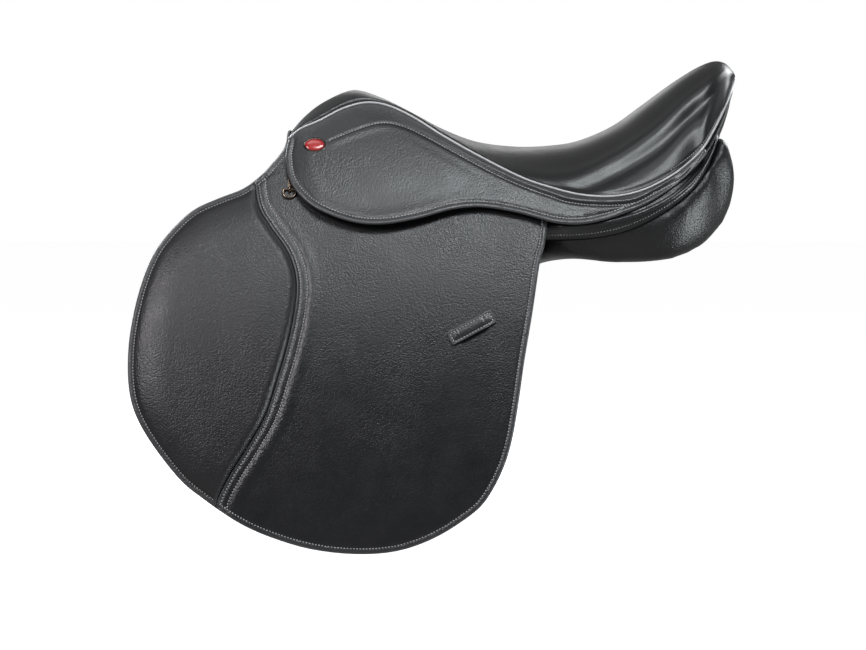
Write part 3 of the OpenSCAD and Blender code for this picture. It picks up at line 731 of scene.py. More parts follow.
def skirt_leaf():
    high = [[e[0], e[2] - 1.6] for e in SEAT_EDGE[16::-1]]
    line, low = curve(SKIRT_LINE, 6), curve(SKIRT_LOW, 6)
    outline = np.vstack([low, curve(high, 6)])

    def height(points, depth):
        above = distance(points, line)
        run = step(points[:, 0], -112, -96)
        rise = -0.75 * ridge(above, 0, 0.9) * run
        rise += 1.1 * ridge(above, 4.4, 2.0) * step(points[:, 0], -30, 30)
        rise += 0.5 * ridge(above, -3.6, 3.0) * run
        from_low = np.abs(distance(points, low))
        rise += 0.35 * ridge(from_low, 3.0, 1.7) - 0.6 * ridge(from_low, SKIRT_SEWN, 1.2)
        crown = step(from_low, 8, 34) * (1 - step(points[:, 0], 0, 90))
        return rise + 1.4 * crown * step(depth, 6, 24)

    def lift(points):
        """The leaf stands off towards its lower edge, most of all at its rounded front."""
        from_low = np.abs(distance(points, low))
        middle = step(points[:, 0], -40, 60)
        flare = 4.2 * step(points[:, 0], -146, -112) * (1 - middle)
        flare += 1.0 * middle * (1 - step(points[:, 0], 120, 190))
        return flare * (1 - step(from_low, -4, 34))

    return Leaf(outline, 8.0, 3.5, pitch=2.8, edge=1.7, rings=(2.6, 3.8, 5.2, 6.4, 7.6), height=height, lift=lift,
                lines=[(line, (-5, -3, -1.5, -0.8, 0, 0.8, 1.7, 3, 4.4, 6, 8))]), line, low


def build_skirts():
    leaf, line, low = skirt_leaf()
    mesh, edge = leaf.mesh()
    row = inset(leaf.outline, SKIRT_SEWN)
    near_low = np.abs(distance(row, low)) < SKIRT_SEWN + 0.8
    start = int(np.argmax(near_low & ~np.roll(near_low, 1)))
    row = np.roll(row, -start, 0)[np.roll(near_low, -start)]
    threads = join(sew(leaf, [row, line]))
    along = LOBE_REAR - LOBE_FRONT
    along /= np.linalg.norm(along)
    down = np.array([along[1], -along[0]])
    fold = [(LOBE_FRONT + LOBE_REAR) / 2 + down * shift for shift in (-1.0, 21.0)], 10
    for side in SIDES:
        add("skirt_leather", mesh, "skirt", side, "skirt_lobe", ["skirt", "skirt_lobe"], fold=fold,
            edge=edge)
        add("skirt_stitching", threads, "thread", side, "skirt_lobe", fold=fold)


BUTTON = np.array([-119.0, 93.0])
BUTTON_SIZE = np.array([11.3, 7.4])


def build_buttons():
    """Oval enamel buttons in a dark rim; they carry no mark."""
    def dome(profile):
        return outward(loft([on_flank(BUTTON + circle(0, 1, 48) * (BUTTON_SIZE + size), offset)
                             for size, offset in profile]))

    rim = dome([(-1.6, 11.0), (0, 11.0), (0.25, 11.9), (0.1, 12.9), (-0.5, 13.4), (-1.1, 13.3), (-1.5, 12.8),
                (-1.7, 12.4)])
    crown = [(-1.6 - 4.8 * (1 - math.cos(a)), 12.8 + 1.35 * math.sin(a)) for a in np.linspace(0.1, math.pi / 2, 9)]
    enamel = dome([(-1.4, 11.6), (-1.5, 12.7)] + crown)
    for side in SIDES:
        add("button_rim", rim, "rim_steel", side, sharp=40)
        add("button_enamel", enamel, "enamel", side, nodes=["skirt_button"], sharp=50)

# ---------------------------------------------------------------- flaps

FLAP_BASE = 2.9
FACING = 1.6
KNEE_LEATHER = 1.3
FLAP_SEWN = 5.4
SEAM_SEWN = (4.0, 10.6)  # two rows behind the knee seam
ROW_GAP = 6.0


def build_flaps():
    outline = counter_clockwise(np.vstack([curve(FLAP_FRONT, 4), curve(FLAP_REAR, 4), np.array(FLAP_HEAD, float)]))
    seam = curve(KNEE_SEAM, 6)
    base = Leaf(outline, 0, FLAP_BASE, pitch=6.0, edge=1.4, rim=2.5)
    inner_loop = even(inset(outline, 0.9, 2.0), 2.0, closed=True)
    # the seam runs down from the head, so the knee side is on its right
    facing_loop = cut_loop(inner_loop, seam, front=False)
    knee_loop = cut_loop(inner_loop, beside(seam, -0.35), front=True)

    def facing_height(points, depth):
        s = distance(points, seam)
        rise = 0.9 * ridge(s, 1.3, 1.2) - 0.55 * ridge(s, SEAM_SEWN[0], 0.9)
        rise -= 0.45 * step(s, 2.5, 4) * (1 - step(s, 10.5, 14.0)) + 0.5 * ridge(s, SEAM_SEWN[1], 0.9)
        rise += 0.75 * ridge(s, 17.0, 4.5) * (1 - step(points[:, 1], -30, 40))
        edge_row = np.abs(distance(points, outline, closed=True))
        rise += -0.5 * ridge(edge_row, FLAP_SEWN, 0.9) + 0.25 * ridge(edge_row, 2.9, 1.2)
        return rise * (1 - step(points[:, 1], 60, 75))

    facing = Leaf(facing_loop, FLAP_BASE + 0.02, FACING, pitch=2.6, edge=0.9, rings=(1.8, 3.1, 3.9, 4.5, 5.1, 6.2),
                  lines=[(seam, (7.0, 8.6, 9.8, 10.6, 11.4, 12.6, 14.2, 16, 18, 20.5, 23.5))], height=facing_height)

    def knee_height(points, depth):
        s = -distance(points, seam)
        edge_row = np.abs(distance(points, outline, closed=True))
        start, slope = np.clip((edge_row - 5.9) / 5, 0, 1), np.clip((edge_row - 5.9) / 34, 0, 1)
        from_seam = np.clip((s - 0.3) / 9, 0, 1)
        rise = (1.5 * np.sqrt(start) + 6.4 * (1 - (1 - slope) ** 2)) * np.sqrt(1 - (1 - from_seam) ** 2)
        crown = 0.6 * step(edge_row, 30, 70) * step(s, 5, 40)
        groove = -0.5 * ridge(edge_row, FLAP_SEWN, 0.9) + 0.3 * ridge(edge_row, 2.9, 1.2)
        return rise + crown + groove

    knee = Leaf(knee_loop, FLAP_BASE + 0.02, KNEE_LEATHER, pitch=2.6, edge=0.9,
                rings=(1.6, 2.6, 3.7, 4.5, 5.3, 6.0, 6.6, 7.4, 8.6, 10.0, 12.0, 14.0), height=knee_height)

    threads = []
    for leaf in (facing, knee):
        row = inset(outline, FLAP_SEWN)
        row = row[leaf.depth(row) > 1.5]
        gaps = np.linalg.norm(np.diff(np.vstack([row, row[:1]]), axis=0), axis=1)
        threads += sew(leaf, split_row(np.roll(row, -(int(np.argmax(gaps)) + 1), 0)))
    rows = [beside(seam, shift) for shift in SEAM_SEWN]
    threads = join(threads + sew(facing, [row[facing.depth(row) > 3.4] for row in rows]))
    fold = [(-80, FLAP_FOLD_Z + 14), (-80, FLAP_FOLD_Z - 20)], 2
    for side in SIDES:
        for name, leaf, look, nodes, slot, fill in (
                ("flap_leather", base, "flap", ["flap_top", "flap"], "flap_leather", None),
                ("flap_facing", facing, "flap", (), "flap_leather", None),
                ("knee_pad_cover", knee, "pad", ["knee_pad"], "pad_leather", 0.6)):
            mesh, edge = leaf.mesh()
            add(name, mesh, look, side, "flap", nodes, fold, edge)
        add("flap_stitching", threads, "thread", side, "flap", fold=fold)


def split_row(row):
    """A row of points cut where two of them are far apart."""
    jumps = np.flatnonzero(np.linalg.norm(np.diff(row, axis=0), axis=1) > ROW_GAP) + 1
    return [part for part in np.split(row, jumps) if len(part) > 3]


def cut_loop(loop, seam, front):
    """The part of a loop in front of or behind a seam that crosses it twice."""
    d = distance(loop, seam)
    keep = d < 0 if front else d > 0
    start = int(np.argmax(keep & ~np.roll(keep, 1)))
    loop, keep = np.roll(loop, -start, 0), np.roll(keep, -start)
    part = loop[:int(np.argmin(keep))] if not keep.all() else loop
    ins = seam[inside(seam, loop)]
    if np.linalg.norm(part[-1] - ins[0]) > np.linalg.norm(part[-1] - ins[-1]):
        ins = ins[::-1]
    gap_end = np.linalg.norm(ins - part[-1], axis=1)
    gap_start = np.linalg.norm(ins - part[0], axis=1)
    ins = ins[(gap_end > 1.2) & (gap_start > 1.2)]
    return np.vstack([part, ins])

# ---------------------------------------------------------------- padded pieces

def bake(obj, modifier_type, **settings):
    """Adds a modifier, applies it and takes it off again."""
    modifier = obj.modifiers.new("step", modifier_type)
    for key, value in settings.items():
        setattr(modifier, key, value)
    graph = bpy.context.evaluated_depsgraph_get()
    data = bpy.data.meshes.new_from_object(obj.evaluated_get(graph))
    obj.modifiers.clear()
    old, obj.data = obj.data, data
    bpy.data.meshes.remove(old)


def vectors(items, field):
    """One vector field of a mesh's vertices or normals, a row for each."""
    found = np.empty(len(items) * 3)
    items.foreach_get(field, found)
    return found.reshape(-1, 3)


def points_of(obj):
    return vectors(obj.data.vertices, "co")


def set_points(obj, co):
    obj.data.vertices.foreach_set("co", np.asarray(co, float).ravel())
    obj.data.update()


def move_along_normals(obj, shift):
    """Moves the points outwards by a shift in metres."""
    set_points(obj, points_of(obj) + vectors(obj.data.vertex_normals, "vector") * shift)


def stuffed(obj, voxel, cap, shrink):
    """Fills a closed form with cloth pressure, so that it crowns by up to cap and its skin draws tight."""
    move_along_normals(obj, -shrink * MM)
    bake(obj, "REMESH", mode="VOXEL", voxel_size=voxel * MM, use_smooth_shade=True)
    inflate(obj, cap)
    bake(obj, "SMOOTH", factor=0.5, iterations=5)
    bake(obj, "SUBSURF", levels=1)


CLOTH = {"use_pressure": True, "uniform_pressure_force": 4.0, "quality": 4, "tension_stiffness": 25,
         "compression_stiffness": 25, "bending_stiffness": 1.5}
CLOTH_FRAMES = 20


def inflate(obj, cap):
    start = points_of(obj)
    cloth = obj.modifiers.new("stuffing", "CLOTH")
    for key, value in CLOTH.items():
        setattr(cloth.settings, key, value)
    cloth.settings.effector_weights.gravity = 0
    cloth.point_cache.frame_start, cloth.point_cache.frame_end = 1, CLOTH_FRAMES
    scene = bpy.context.scene
    for number in range(1, CLOTH_FRAMES + 1):
        scene.frame_set(number)
    shift = points_of(obj.evaluated_get(bpy.context.evaluated_depsgraph_get())) - start
    obj.modifiers.clear()
    far = np.linalg.norm(shift, axis=1)
    limit = cap * MM
    shift *= (np.where(far > limit, limit / np.maximum(far, 1e-9), 1))[:, None]
    set_points(obj, start + shift)
    scene.frame_set(1)


def taken(obj):
    """The mesh of an object in millimetres; the object goes."""
    blocks = {}
    for p in obj.data.polygons:
        blocks.setdefault(len(p.vertices), []).append(list(p.vertices))
    mesh = points_of(obj) / MM, [np.array(rows) for rows in blocks.values()]
    bpy.data.objects.remove(obj)
    return mesh

# ---------------------------------------------------------------- panels

PANEL_STATIONS = [
    [-141, 34, 52, 44, 48, 108, -50, 92, -56],
    [-132, 30, 60, 46, 56, 118, -62, 90, -68],
    [-70, 30, 62, 50, 54, 122, -58, 88, -68],
    [0, 30, 48, 60, 40, 124, -50, 80, -62],
    [70, 28, 34, 80, 26, 120, -38, 64, -46],
    [120, 28, 28, 118, 15, 128, -27, 48, -22],
    [170, 28, 28, 138, 14, 134, -32, 40, -2],
    [210, 30, 36, 141, 26, 132, -32, 38, 2],
    [245, 30, 52, 136, 46, 124, -27, 40, 4],
    [272, 32, 74, 119, 74, 108, -14, 42, 8],
    [283, 38, 96, 101, 95, 100, -5, 45, 15],
    [290, 42, 112, 90, 112, 93, 3, 48, 20],
    [297, 46, 99, 90, 98, 87, 14, 50, 25],
    [303, 52, 81, 84, 80, 80, 31, 54, 36],
    [307, 60, 66, 74, 65, 72, 50, 62, 50]]
PANEL_SQUARE = 4
PANEL_WELT = [[112, 11], [141, 11], [174, 15], [207, 24], [240, 41], [266, 65], [279, 84], [287, 100]]
PANEL_SEAM = [[112, 3], [150, 4], [182, 9], [207, 18], [232, 31], [257, 50], [274, 72], [284, 90], [289, 104]]


WELT_R = 2.9
RELAX_ROUNDS = 12
SEAM_DENT, SEAM_WIDTH = 1.2, 4.0  # how the seam draws the panel in


def panel_rings(steps, sides):
    turn = np.linspace(0, 2 * math.pi, sides, endpoint=False)
    a, b = (np.sign(w) * np.abs(w) ** (2 / PANEL_SQUARE) / 2 + 0.5 for w in (np.cos(turn), np.sin(turn)))
    rings = []
    for s in curve(PANEL_STATIONS, steps):
        top = np.outer(1 - a, s[1:3]) + np.outer(a, s[3:5])
        foot = np.outer(1 - a, s[7:9]) + np.outer(a, s[5:7])
        rings.append(np.column_stack([np.full(sides, s[0]), foot + (top - foot) * b[:, None]]))
    return rings


def tree_of(obj):
    """A search tree of the piece's surface, in millimetres, as if on the right side."""
    verts = [Vector(p) for p in (points_of(obj) / MM).tolist()]
    return BVHTree.FromPolygons(verts, [tuple(p.vertices) for p in obj.data.polygons])


def relax(rows):
    """Evens out a row of points, leaving its ends in place."""
    for _ in range(RELAX_ROUNDS):
        rows[1:-1] = (rows[:-2] + 2 * rows[1:-1] + rows[2:]) / 4
    return rows


def build_panels():
    body = make("panel_body", outward(loft(panel_rings(5, 72))), MATERIALS["panel"])
    stuffed(body, 6.0, 5.0, 2.0)
    tree = tree_of(body)
    roll = even(curve(PANEL_WELT, 6), 2.5)
    out = np.minimum(flank(roll[:, 1], -5 + 13.5 * step(roll[:, 0], 113, 138)), 139.5)
    out -= 40 * step(roll[:, 0], 236, 330)
    roll = np.column_stack([roll[:, 0], out, roll[:, 1]])
    seam = curve(PANEL_SEAM, 6)
    places = np.linspace(0, 1, len(roll)), np.linspace(0, 1, len(seam))
    seam_x, seam_z = (np.interp(*places, seam[:, k]) for k in (0, 1))
    # the band between the rolled welt and the panel's side bulges through the seam
    foot = []
    for x, z, spot in zip(seam_x, seam_z, roll):
        hit = tree.ray_cast(Vector((x, 260, z - 6)), Vector((0, -1, 0)))[0]
        foot.append([x, hit.y if hit is not None else spot[1] - 4, z - 6])
    foot = relax(np.array(foot))
    middle = np.column_stack([seam_x, 0.45 * (roll[:, 1] - 1.5) + 0.55 * foot[:, 1] + 0.9, seam_z])
    t = np.linspace(0, 1, 9)[None, :, None]
    start = roll + [0, -1.2, -1.2]
    strip = start[:, None] * (1 - t) * (1 - 2 * t) + middle[:, None] * 4 * t * (1 - t)
    strip += foot[:, None] * t * (2 * t - 1)
    out = grid_normals(strip)
    out *= np.sign(out[..., 1].mean())
    below = shell(strip + out * 0.7, strip - out * 0.9)
    low = roll + [0, -0.6, 1.0]
    tuck = low[:, None] * (1 - t) + (low + [0, -16.0, 24.0])[:, None] * t
    above = shell(tuck + [0, 0.8, 0.8], tuck - [0, 0.8, 0.8])
    cord = join([tube(roll, WELT_R, 14), below, above])
    fine = np.linspace(0, len(strip) - 1, len(strip) * 3)
    seam, seam_normals = (np.stack([np.interp(fine, np.arange(len(strip)), line[:, i]) for i in range(3)], 1)
                          for line in (strip[:, 4] + out[:, 4] * 0.75, out[:, 4]))
    threads = join(stitches(seam, seam_normals))
    co = points_of(body) / MM
    gap = np.concatenate([np.linalg.norm(co[k:k + BATCH, None] - seam[None], axis=2).min(1)
                          for k in range(0, len(co), BATCH)])
    move_along_normals(body, -SEAM_DENT * MM * ridge(gap, 0, SEAM_WIDTH)[:, None])
    mesh = taken(body)
    for side in SIDES:
        add("panel_cushion", mesh, "panel", side, nodes=["panel"])
        add("panel_welt_cord", cord, "skirt", side, nodes=["panel_welt"])
        add("panel_stitching", threads, "thread", side)

# ---------------------------------------------------------------- pieces under and on the flap

SWEAT_SEWN = 5.6
EDGE_SEWN = 4.4  # on the guards and the pommel facing
BLOCK_THICK = 16.4


def add_sewn(name, leaf, look, threads_name, lines, body, node):
    """A leaf of leather and its stitching, on both sides."""
    mesh, edge = leaf.mesh()
    threads = join(sew(leaf, lines))
    for side in SIDES:
        add(name, mesh, look, side, body, [node], edge=edge)
        add(threads_name, threads, "thread", side, body)


KEEPER = np.array([38.0, -88.0])
KEEPER_TURN = math.radians(28)
KEEPER_L, KEEPER_W = 49.0, 14.0
CORNER_STEPS = 5


def circle(centre, r, count=20):
    turn = np.linspace(0, 2 * math.pi, count, endpoint=False)
    return np.asarray(centre) + r * np.stack([np.cos(turn), np.sin(turn)], 1)


def rounded_box(length, width, corner):
    """A rectangle with round corners about the origin."""
    rows = []
    for q, (sx, sz) in enumerate(((1, 1), (-1, 1), (-1, -1), (1, -1))):
        middle = np.array([sx * (length / 2 - corner), sz * (width / 2 - corner)])
        for a in np.linspace(q * math.pi / 2, (q + 1) * math.pi / 2, CORNER_STEPS):
            rows.append(middle + [corner * math.cos(a), corner * math.sin(a)])
    return np.array(rows)


def turned(points):
    """Points about the keeper's middle, turned to its slope."""
    c, s = math.cos(KEEPER_TURN), math.sin(KEEPER_TURN)
    return np.asarray(points) @ np.array([[c, s], [-s, c]]) + KEEPER


def build_keepers():
    def lift(points):
        along = (points - KEEPER) @ np.array([math.cos(KEEPER_TURN), math.sin(KEEPER_TURN)])
        return 2.0 * (1 - step(np.abs(along), 12.5, 18.5))

    leaf = Leaf(turned(rounded_box(KEEPER_L, KEEPER_W, 2.0)), 4.6, 2.3, pitch=1.6, edge=1.0, rim=1.0,
                rings=(1.8, 2.6, 3.4), lift=lift, height=lambda p, d: -0.35 * ridge(d, 2.5, 0.7) + 0.3 * step(d, 3, 6))
    rows = [[[-21.5, z], [21.5, z]] for z in (-4.6, 4.6)] + [[[x, -4.6], [x, 4.6]] for x in (-21.8, 21.8)]
    add_sewn("leather_keeper_loop", leaf, "skirt", "keeper_stitching", [turned(row) for row in rows], "flap",
             "leather_keeper")


def build_sweat_flaps():
    outline = np.vstack([curve(SWEAT, 4), np.array(SWEAT_HEAD, float)])
    leaf = Leaf(outline, -23.0, 3.0, pitch=5.0, edge=1.4, rings=(2.6, 4.6, 5.6, 6.6),
                height=lambda p, d: -0.4 * ridge(d, SWEAT_SEWN, 0.9) + 0.3 * ridge(d, 2.6, 1.4))
    row = inset(leaf.outline, SWEAT_SEWN)
    add_sewn("sweat_flap_leather", leaf, "lining", "sweat_flap_stitching", split_row(row[row[:, 1] < 2]), "root",
             "sweat_flap")


def build_blocks():
    """Foam blocks in leather on the sweat flap, in front of and behind the rider's leg."""
    for name, outline, voxel in (("knee_block", np.vstack([curve(part, 4) for part in KNEE_BLOCK]), 4.0),
                                 ("thigh_block", curve(THIGH_BLOCK, 4), 3.0)):
        leaf = Leaf(outline, -19.6, BLOCK_THICK, pitch=4.0, edge=6.0, rim=2.5)
        form = make(name + "_form", leaf.mesh()[0], MATERIALS["lining"])
        stuffed(form, voxel, 2.0, 0.6)
        mesh = taken(form)
        for side in SIDES:
            add(name + "_pad", mesh, "lining", side, nodes=[name])


STRAP_X = (-55, -22, 11)
STRAP_IN = (-17.6, -13.0, -8.4)
STRAP_W, STRAP_TOP, STRAP_DROP = 25.0, 20.0, 275.0
HOLE_PITCH, HOLE_D, HOLES = 25.4, 4.5, 7


def build_straps():
    foot, half = STRAP_TOP - STRAP_DROP, STRAP_W / 2
    turn = np.linspace(0, math.pi, 11)
    arc = np.stack([np.cos(turn) * half, STRAP_TOP + np.sin(turn) * half], 1)
    tip = [[-half, foot + 14], [-4, foot], [4, foot], [half, foot + 14]]
    low = STRAP_TOP - 24
    for place, x, inner in zip(("_front", "_middle", "_rear"), STRAP_X, STRAP_IN):
        holes = [circle((x, foot + 22 + i * HOLE_PITCH), HOLE_D / 2) for i in range(HOLES)]
        leaf = Leaf(np.vstack([arc, tip]) + [x, 0], inner, 3.0, pitch=3.0, edge=1.1, rim=2.0, rings=(2.0, 2.6, 3.2),
                    holes=holes, height=lambda p, d: -0.3 * ridge(d, 2.6, 0.6))
        rows = [[[x + shift, low], [x + shift, STRAP_TOP + 4]] for shift in (-6.0, 6.0)]
        add_sewn("girth_strap_leather" + place, leaf, "strap", "strap_stitching" + place,
                 rows + [[[x - 6, low], [x + 6, low]]], "strap" + place, "girth_strap" + place)


def build_guards():
    leaf = Leaf(rounded_box(110, 90, 12) + [-17, -45], -3.7, 1.5, pitch=3.5, edge=0.7, rings=(1.6, 3.4, 4.4, 5.4),
                height=lambda p, d: -0.3 * ridge(d, EDGE_SEWN, 0.8) + 0.35 * step(d, 6, 26))
    rows = [np.vstack([part, part[:1]]) for part in split_row(inset(leaf.outline, EDGE_SEWN))]
    add_sewn("buckle_guard_leather", leaf, "strap", "guard_stitching", rows, "guard", "buckle_guard")

# ---------------------------------------------------------------- covers of cantle and pommel

CANTLE_RIM = [[262, 103, 73], [272, 97, 84], [283, 81, 100], [296, 55, 125], [306, 24, 148], [309, 0, 156]]
CANTLE_FOOT = [[262, 98, 66], [272, 84, 76], [281, 66, 88], [289, 44, 99], [293, 20, 106], [294, 0, 108]]
POMMEL_TOP = [[0, 110], [30, 109], [55, 105], [72, 99], [80, 93], [90, 80], [98, 68], [105, 54], [104, 42]]
POMMEL_ARCH = [[60, 30], [54, 48], [44, 66], [26, 79], [0, 84]]
POMMEL_X = -146.6
FACING_HALF, FACING_CROWN = 1.1, 2.4  # the cantle facing's half thickness and how far it bulges


def both_ways(half):
    """A half line from one side to the middle, with its mirror image."""
    half = np.array(half, float)
    return np.vstack([half, (half[:-1] * [1, -1, 1])[::-1]])


def build_cantle():
    rim, foot = curve(both_ways(CANTLE_RIM), 8), curve(both_ways(CANTLE_FOOT), 8)
    t = np.linspace(0, 1, 25)[None, :, None]
    grid = foot[:, None] * (1 - t) + rim[:, None] * t
    normals = grid_normals(grid)
    normals *= np.sign(normals[..., 0].mean())
    outer = grid + normals * (FACING_HALF + FACING_CROWN * np.sin(t * math.pi))
    add("cantle_leather_facing", shell(outer, grid - normals * FACING_HALF), "skirt", nodes=["cantle_facing"])
    threads = []
    for place in (2, 22):
        threads += stitches(outer[2:-2, place] + normals[2:-2, place] * 0.1, normals[2:-2, place])
    add("cantle_stitching", join(threads), "thread")
    add("cantle_foot_welt", tube(even(outer[:, 0] + normals[:, 0] * 0.3, 2.5), 1.5, 10), "skirt")


class FrontLeaf(Leaf):
    """A leaf across the front of the head: its outline is in Y and Z, and its outer face looks forward."""

    place = staticmethod(lambda points, offset: np.stack([POMMEL_X - offset, points[:, 0], points[:, 1]], 1))
    normals = staticmethod(lambda points: np.tile([-1.0, 0, 0], (len(points), 1)))


def build_pommel():
    half = np.vstack([curve(POMMEL_TOP, 5), curve(POMMEL_ARCH, 5)])
    outline = np.vstack([half, (half[1:-1] * [-1, 1])[::-1]])
    leaf = FrontLeaf(outline, 0, 2.2, pitch=3.0, edge=1.0, rings=(2.2, 3.4, 4.4, 5.4),
                     height=lambda p, d: -0.35 * ridge(d, EDGE_SEWN, 0.8) + 0.9 * step(d, 5, 11))
    mesh, edge = leaf.mesh()
    add("pommel_leather_facing", outward(mesh), "skirt", nodes=["pommel_facing"], edge=edge)
    add("pommel_stitching", join(sew(leaf, split_row(inset(leaf.outline, EDGE_SEWN)))), "thread")
    arch = curve(POMMEL_ARCH, 6)
    arch = np.vstack([arch, (arch[:-1] * [-1, 1])[::-1]])
    path = np.column_stack([np.full(len(arch), POMMEL_X - 1.0), arch])
    add("pommel_arch_welt", tube(even(path, 2.5), 1.6, 10), "skirt")

# ---------------------------------------------------------------- webbing and pockets

def ribbon(left_line, right_line, thick, columns=9):
    """A flat band of webbing between two lines in space, with rounded edges."""
    t = np.linspace(0, 1, columns)
    across = 0.5 - 0.5 * np.cos(t * math.pi)
    grid = left_line[:, None] * (1 - across)[None, :, None] + right_line[:, None] * across[None, :, None]
    normals = grid_normals(grid)
    half = thick / 2 * np.sqrt(np.clip(1 - (2 * t - 1) ** 8, 0.02, 1))[None, :, None]
    return shell(grid + normals * half, grid - normals * half)


SEAT_WEB = [[-112, 118], [-96, 120.5], [-50, 110], [0, 96], [34, 87], [60, 80.5], [90, 76], [160, 84],
            [225, 100], [250, 106]]
GIRTH_WEB = [[0, 82.5], [36, 82], [70, 72], [88, 57], [96, 45], [106, 32]]
WEB_THICK = 1.8


def build_webbing():
    path = curve(SEAT_WEB, 6)
    lines = [np.column_stack([path[:, 0], np.full(len(path), y), path[:, 1]]) for y in (-24.0, 24.0)]
    add("seat_webbing_strap", ribbon(*lines, WEB_THICK), "webbing", nodes=["seat_webbing"])
    half = np.array(GIRTH_WEB, float)
    half[-1] = [float(flank(33, -19.2)), 32]
    arc = curve(half, 6)
    arc = np.vstack([(arc * [-1, 1])[::-1][:-1], arc])
    middle = np.column_stack([np.zeros(len(arc)), arc])
    normal = np.stack([np.zeros(len(arc)), -np.gradient(arc[:, 1]), np.gradient(arc[:, 0])], 1)
    normal /= np.linalg.norm(normal, axis=1)[:, None]
    middle -= normal * WEB_THICK / 2
    mesh = Leaf(rounded_box(110, 18.6, 2) + [-17, 23.3], -19.8, 0.8, pitch=5.0, edge=0.4).mesh()[0]
    mirrored = mesh[0] * [1, -1, 1], [block[:, ::-1] for block in mesh[1]]
    over = ribbon(middle + [-6, 0, 0], middle + [34, 0, 0], WEB_THICK)
    add("girth_webbing_straps", join([over, mesh, mirrored]), "webbing", nodes=["girth_webbing"])


def give(obj, look):
    """Gives a piece with a CAD shape one material."""
    obj.data.materials.clear()
    obj.data.materials.append(MATERIALS[look])


def build_pockets():
    """The leather pockets that hold the tree points, with rounded edges."""
    for side in SIDES:
        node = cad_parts["point_pocket_" + side]
        piece = in_scene(bpy.data.objects.new("point_pocket_leather_" + side, node.data.copy()))
        bake(piece, "WELD", merge_threshold=0.00001)
        bake(piece, "BEVEL", width=0.0008, segments=3, limit_method="ANGLE")
        piece.data.polygons.foreach_set("use_smooth", [True] * len(piece.data.polygons))
        piece.data.set_sharp_from_angle(angle=math.radians(50))
        give(piece, "lining")
        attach(piece, "root")
        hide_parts("point_pocket_" + side)


def finish_cad_nodes():
    """Materials for the hard pieces that keep their CAD shape."""
    for look, names in (("tree_wood", ["tree_frame"]), ("tree_steel", ["gullet_plate", "tree_springs"]),
                        ("bar_steel", ["gullet_screws", "spring_rivets", "stirrup_bar_rivets", "latch_pins"])):
        for name in names:
            give(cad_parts[name], look)
    for side in SIDES:
        for name, look in (("stirrup_bar_", "bar_steel"), ("thumb_latch_", "bar_steel"),
                           ("dee_staple_", "dee_steel"), ("front_dee_", "dee_steel")):
            give(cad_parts[name + side], look)

# ---------------------------------------------------------------- scene

FLOOR_REACH = 30.0
FLOOR_GAP = 0.0005
# how bright the world is from straight below to straight above
SKY = ((0.0, 0.44), (0.44, 0.4), (0.5, 0.1), (0.6, 0.07), (0.72, 0.14), (0.85, 0.26), (1.0, 0.16))
# name, place, aim, size in metres, power in watts and tint
SOFTBOXES = (
    ("key_softbox", (0.45, -1.4, 1.96), (0, 0, 0.0), (1.2, 0.56), 33, (0.93, 0.98, 1.0)),
    ("left_softbox", (-1.3, -1.64, 1.15), (-0.28, 0, -0.1), (0.6, 0.9), 27, (1.0, 0.97, 1.0)),
    ("upper_left_softbox", (-0.36, -0.36, 2.2), (0, 0, 0.1), (0.8, 0.7), 3.5, (0.95, 0.99, 1.0)),
    ("right_softbox", (2.5, -0.6, -0.45), (0.1, 0, 0), (1.1, 1.0), 44, (0.91, 0.98, 1.0)),
    ("back_softbox", (0.0, 0.95, 0.47), (0.1, 0, 0.05), (0.4, 0.3), 0.6, (1.0, 1.0, 1.0)),
    ("far_right_softbox", (1.6, 1.5, 1.1), (0, 0.1, -0.05), (1.0, 0.9), 26, (0.95, 0.98, 1.0)),
    ("far_left_softbox", (-1.6, 1.5, 1.0), (0, 0.1, -0.05), (1.0, 0.9), 26, (0.95, 0.98, 1.0)))
LENS = 140.1
CAMERA_REACH, CAMERA_RISE = 3.5, math.radians(2.0)
CAMERA_AIM = Vector((0, 0, -0.092))


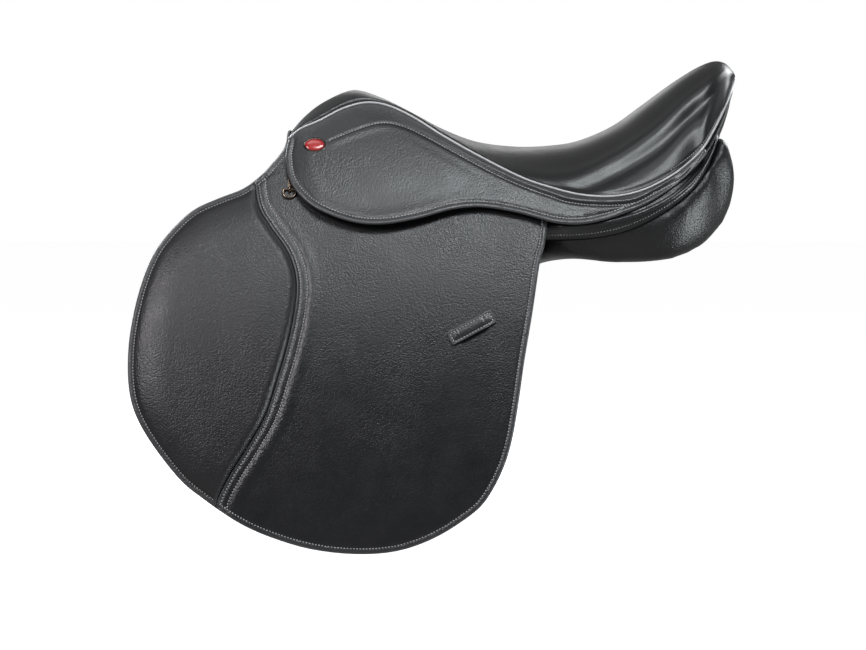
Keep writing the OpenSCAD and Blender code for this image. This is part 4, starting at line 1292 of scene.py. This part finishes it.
def studio():
    mesh = bpy.data.meshes.new("floor")
    corners = [(x * FLOOR_REACH, y * FLOOR_REACH, cad_box[0][2] - FLOOR_GAP)
               for x, y in ((-1, -1), (1, -1), (1, 1), (-1, 1))]
    mesh.from_pydata(corners, [], [(0, 1, 2, 3)])
    floor = in_scene(bpy.data.objects.new("floor", mesh))
    mesh.materials.append(Look("pale_floor").surface(
        Base_Color=(0.9, 0.9, 0.9), Roughness=0.9, Specular_IOR_Level=0.1, Emission_Color=(1, 1, 1),
        Emission_Strength=0.82))
    floor.visible_glossy = False
    floor.visible_diffuse = False

    world = bpy.data.worlds.new("studio")
    world.use_nodes = True
    bpy.context.scene.world = world
    sky = Nodes(world.node_tree)
    up = sky.node("SeparateXYZ", Vector=sky.node("TexCoord").outputs["Generated"]).outputs["Z"]
    shades = sky.node("ValToRGB", Fac=sky.ramp(up, 0.0, 1.0, -1.0, 1.0))
    while len(shades.color_ramp.elements) < len(SKY):
        shades.color_ramp.elements.new(0.5)
    for element, (place, value) in zip(shades.color_ramp.elements, SKY):
        element.position = place
        element.color = (value, value, value, 1)
    seen = sky.node("LightPath").outputs["Is Camera Ray"]
    sky.put(sky.tree.nodes["Background"].inputs["Color"], sky.mixed(seen, shades.outputs["Color"], (1.0, 1.0, 1.0)))
    sky.put(sky.tree.nodes["Background"].inputs["Strength"], 1.0)

    for name, place, aim, size, power, tint in SOFTBOXES:
        data = bpy.data.lights.new(name, "AREA")
        data.shape = "RECTANGLE"
        data.size, data.size_y = size
        data.energy = power
        data.color = tint
        lamp = in_scene(bpy.data.objects.new(name, data))
        lamp.visible_camera = False
        point(lamp, Vector(place), Vector(aim))

    data = bpy.data.cameras.new("camera")
    data.sensor_width = 36.0
    data.lens = LENS
    data.clip_end = 100
    camera = in_scene(bpy.data.objects.new("camera", data))
    point(camera, CAMERA_AIM + CAMERA_REACH * Vector((0, -math.cos(CAMERA_RISE), math.sin(CAMERA_RISE))), CAMERA_AIM)
    bpy.context.scene.camera = camera
    bpy.context.scene.view_settings.view_transform = "Standard"


def point(obj, place, aim):
    """Puts a lamp or camera in its place and turns it to its aim."""
    obj.location = place
    obj.rotation_euler = (aim - place).to_track_quat("-Z", "Y").to_euler()


studio()
build_seat()
build_foam()
build_skirts()
build_buttons()
build_flaps()
build_keepers()
build_panels()
build_sweat_flaps()
build_blocks()
build_straps()
build_guards()
build_cantle()
build_pommel()
build_webbing()
build_pockets()
finish_cad_nodes()
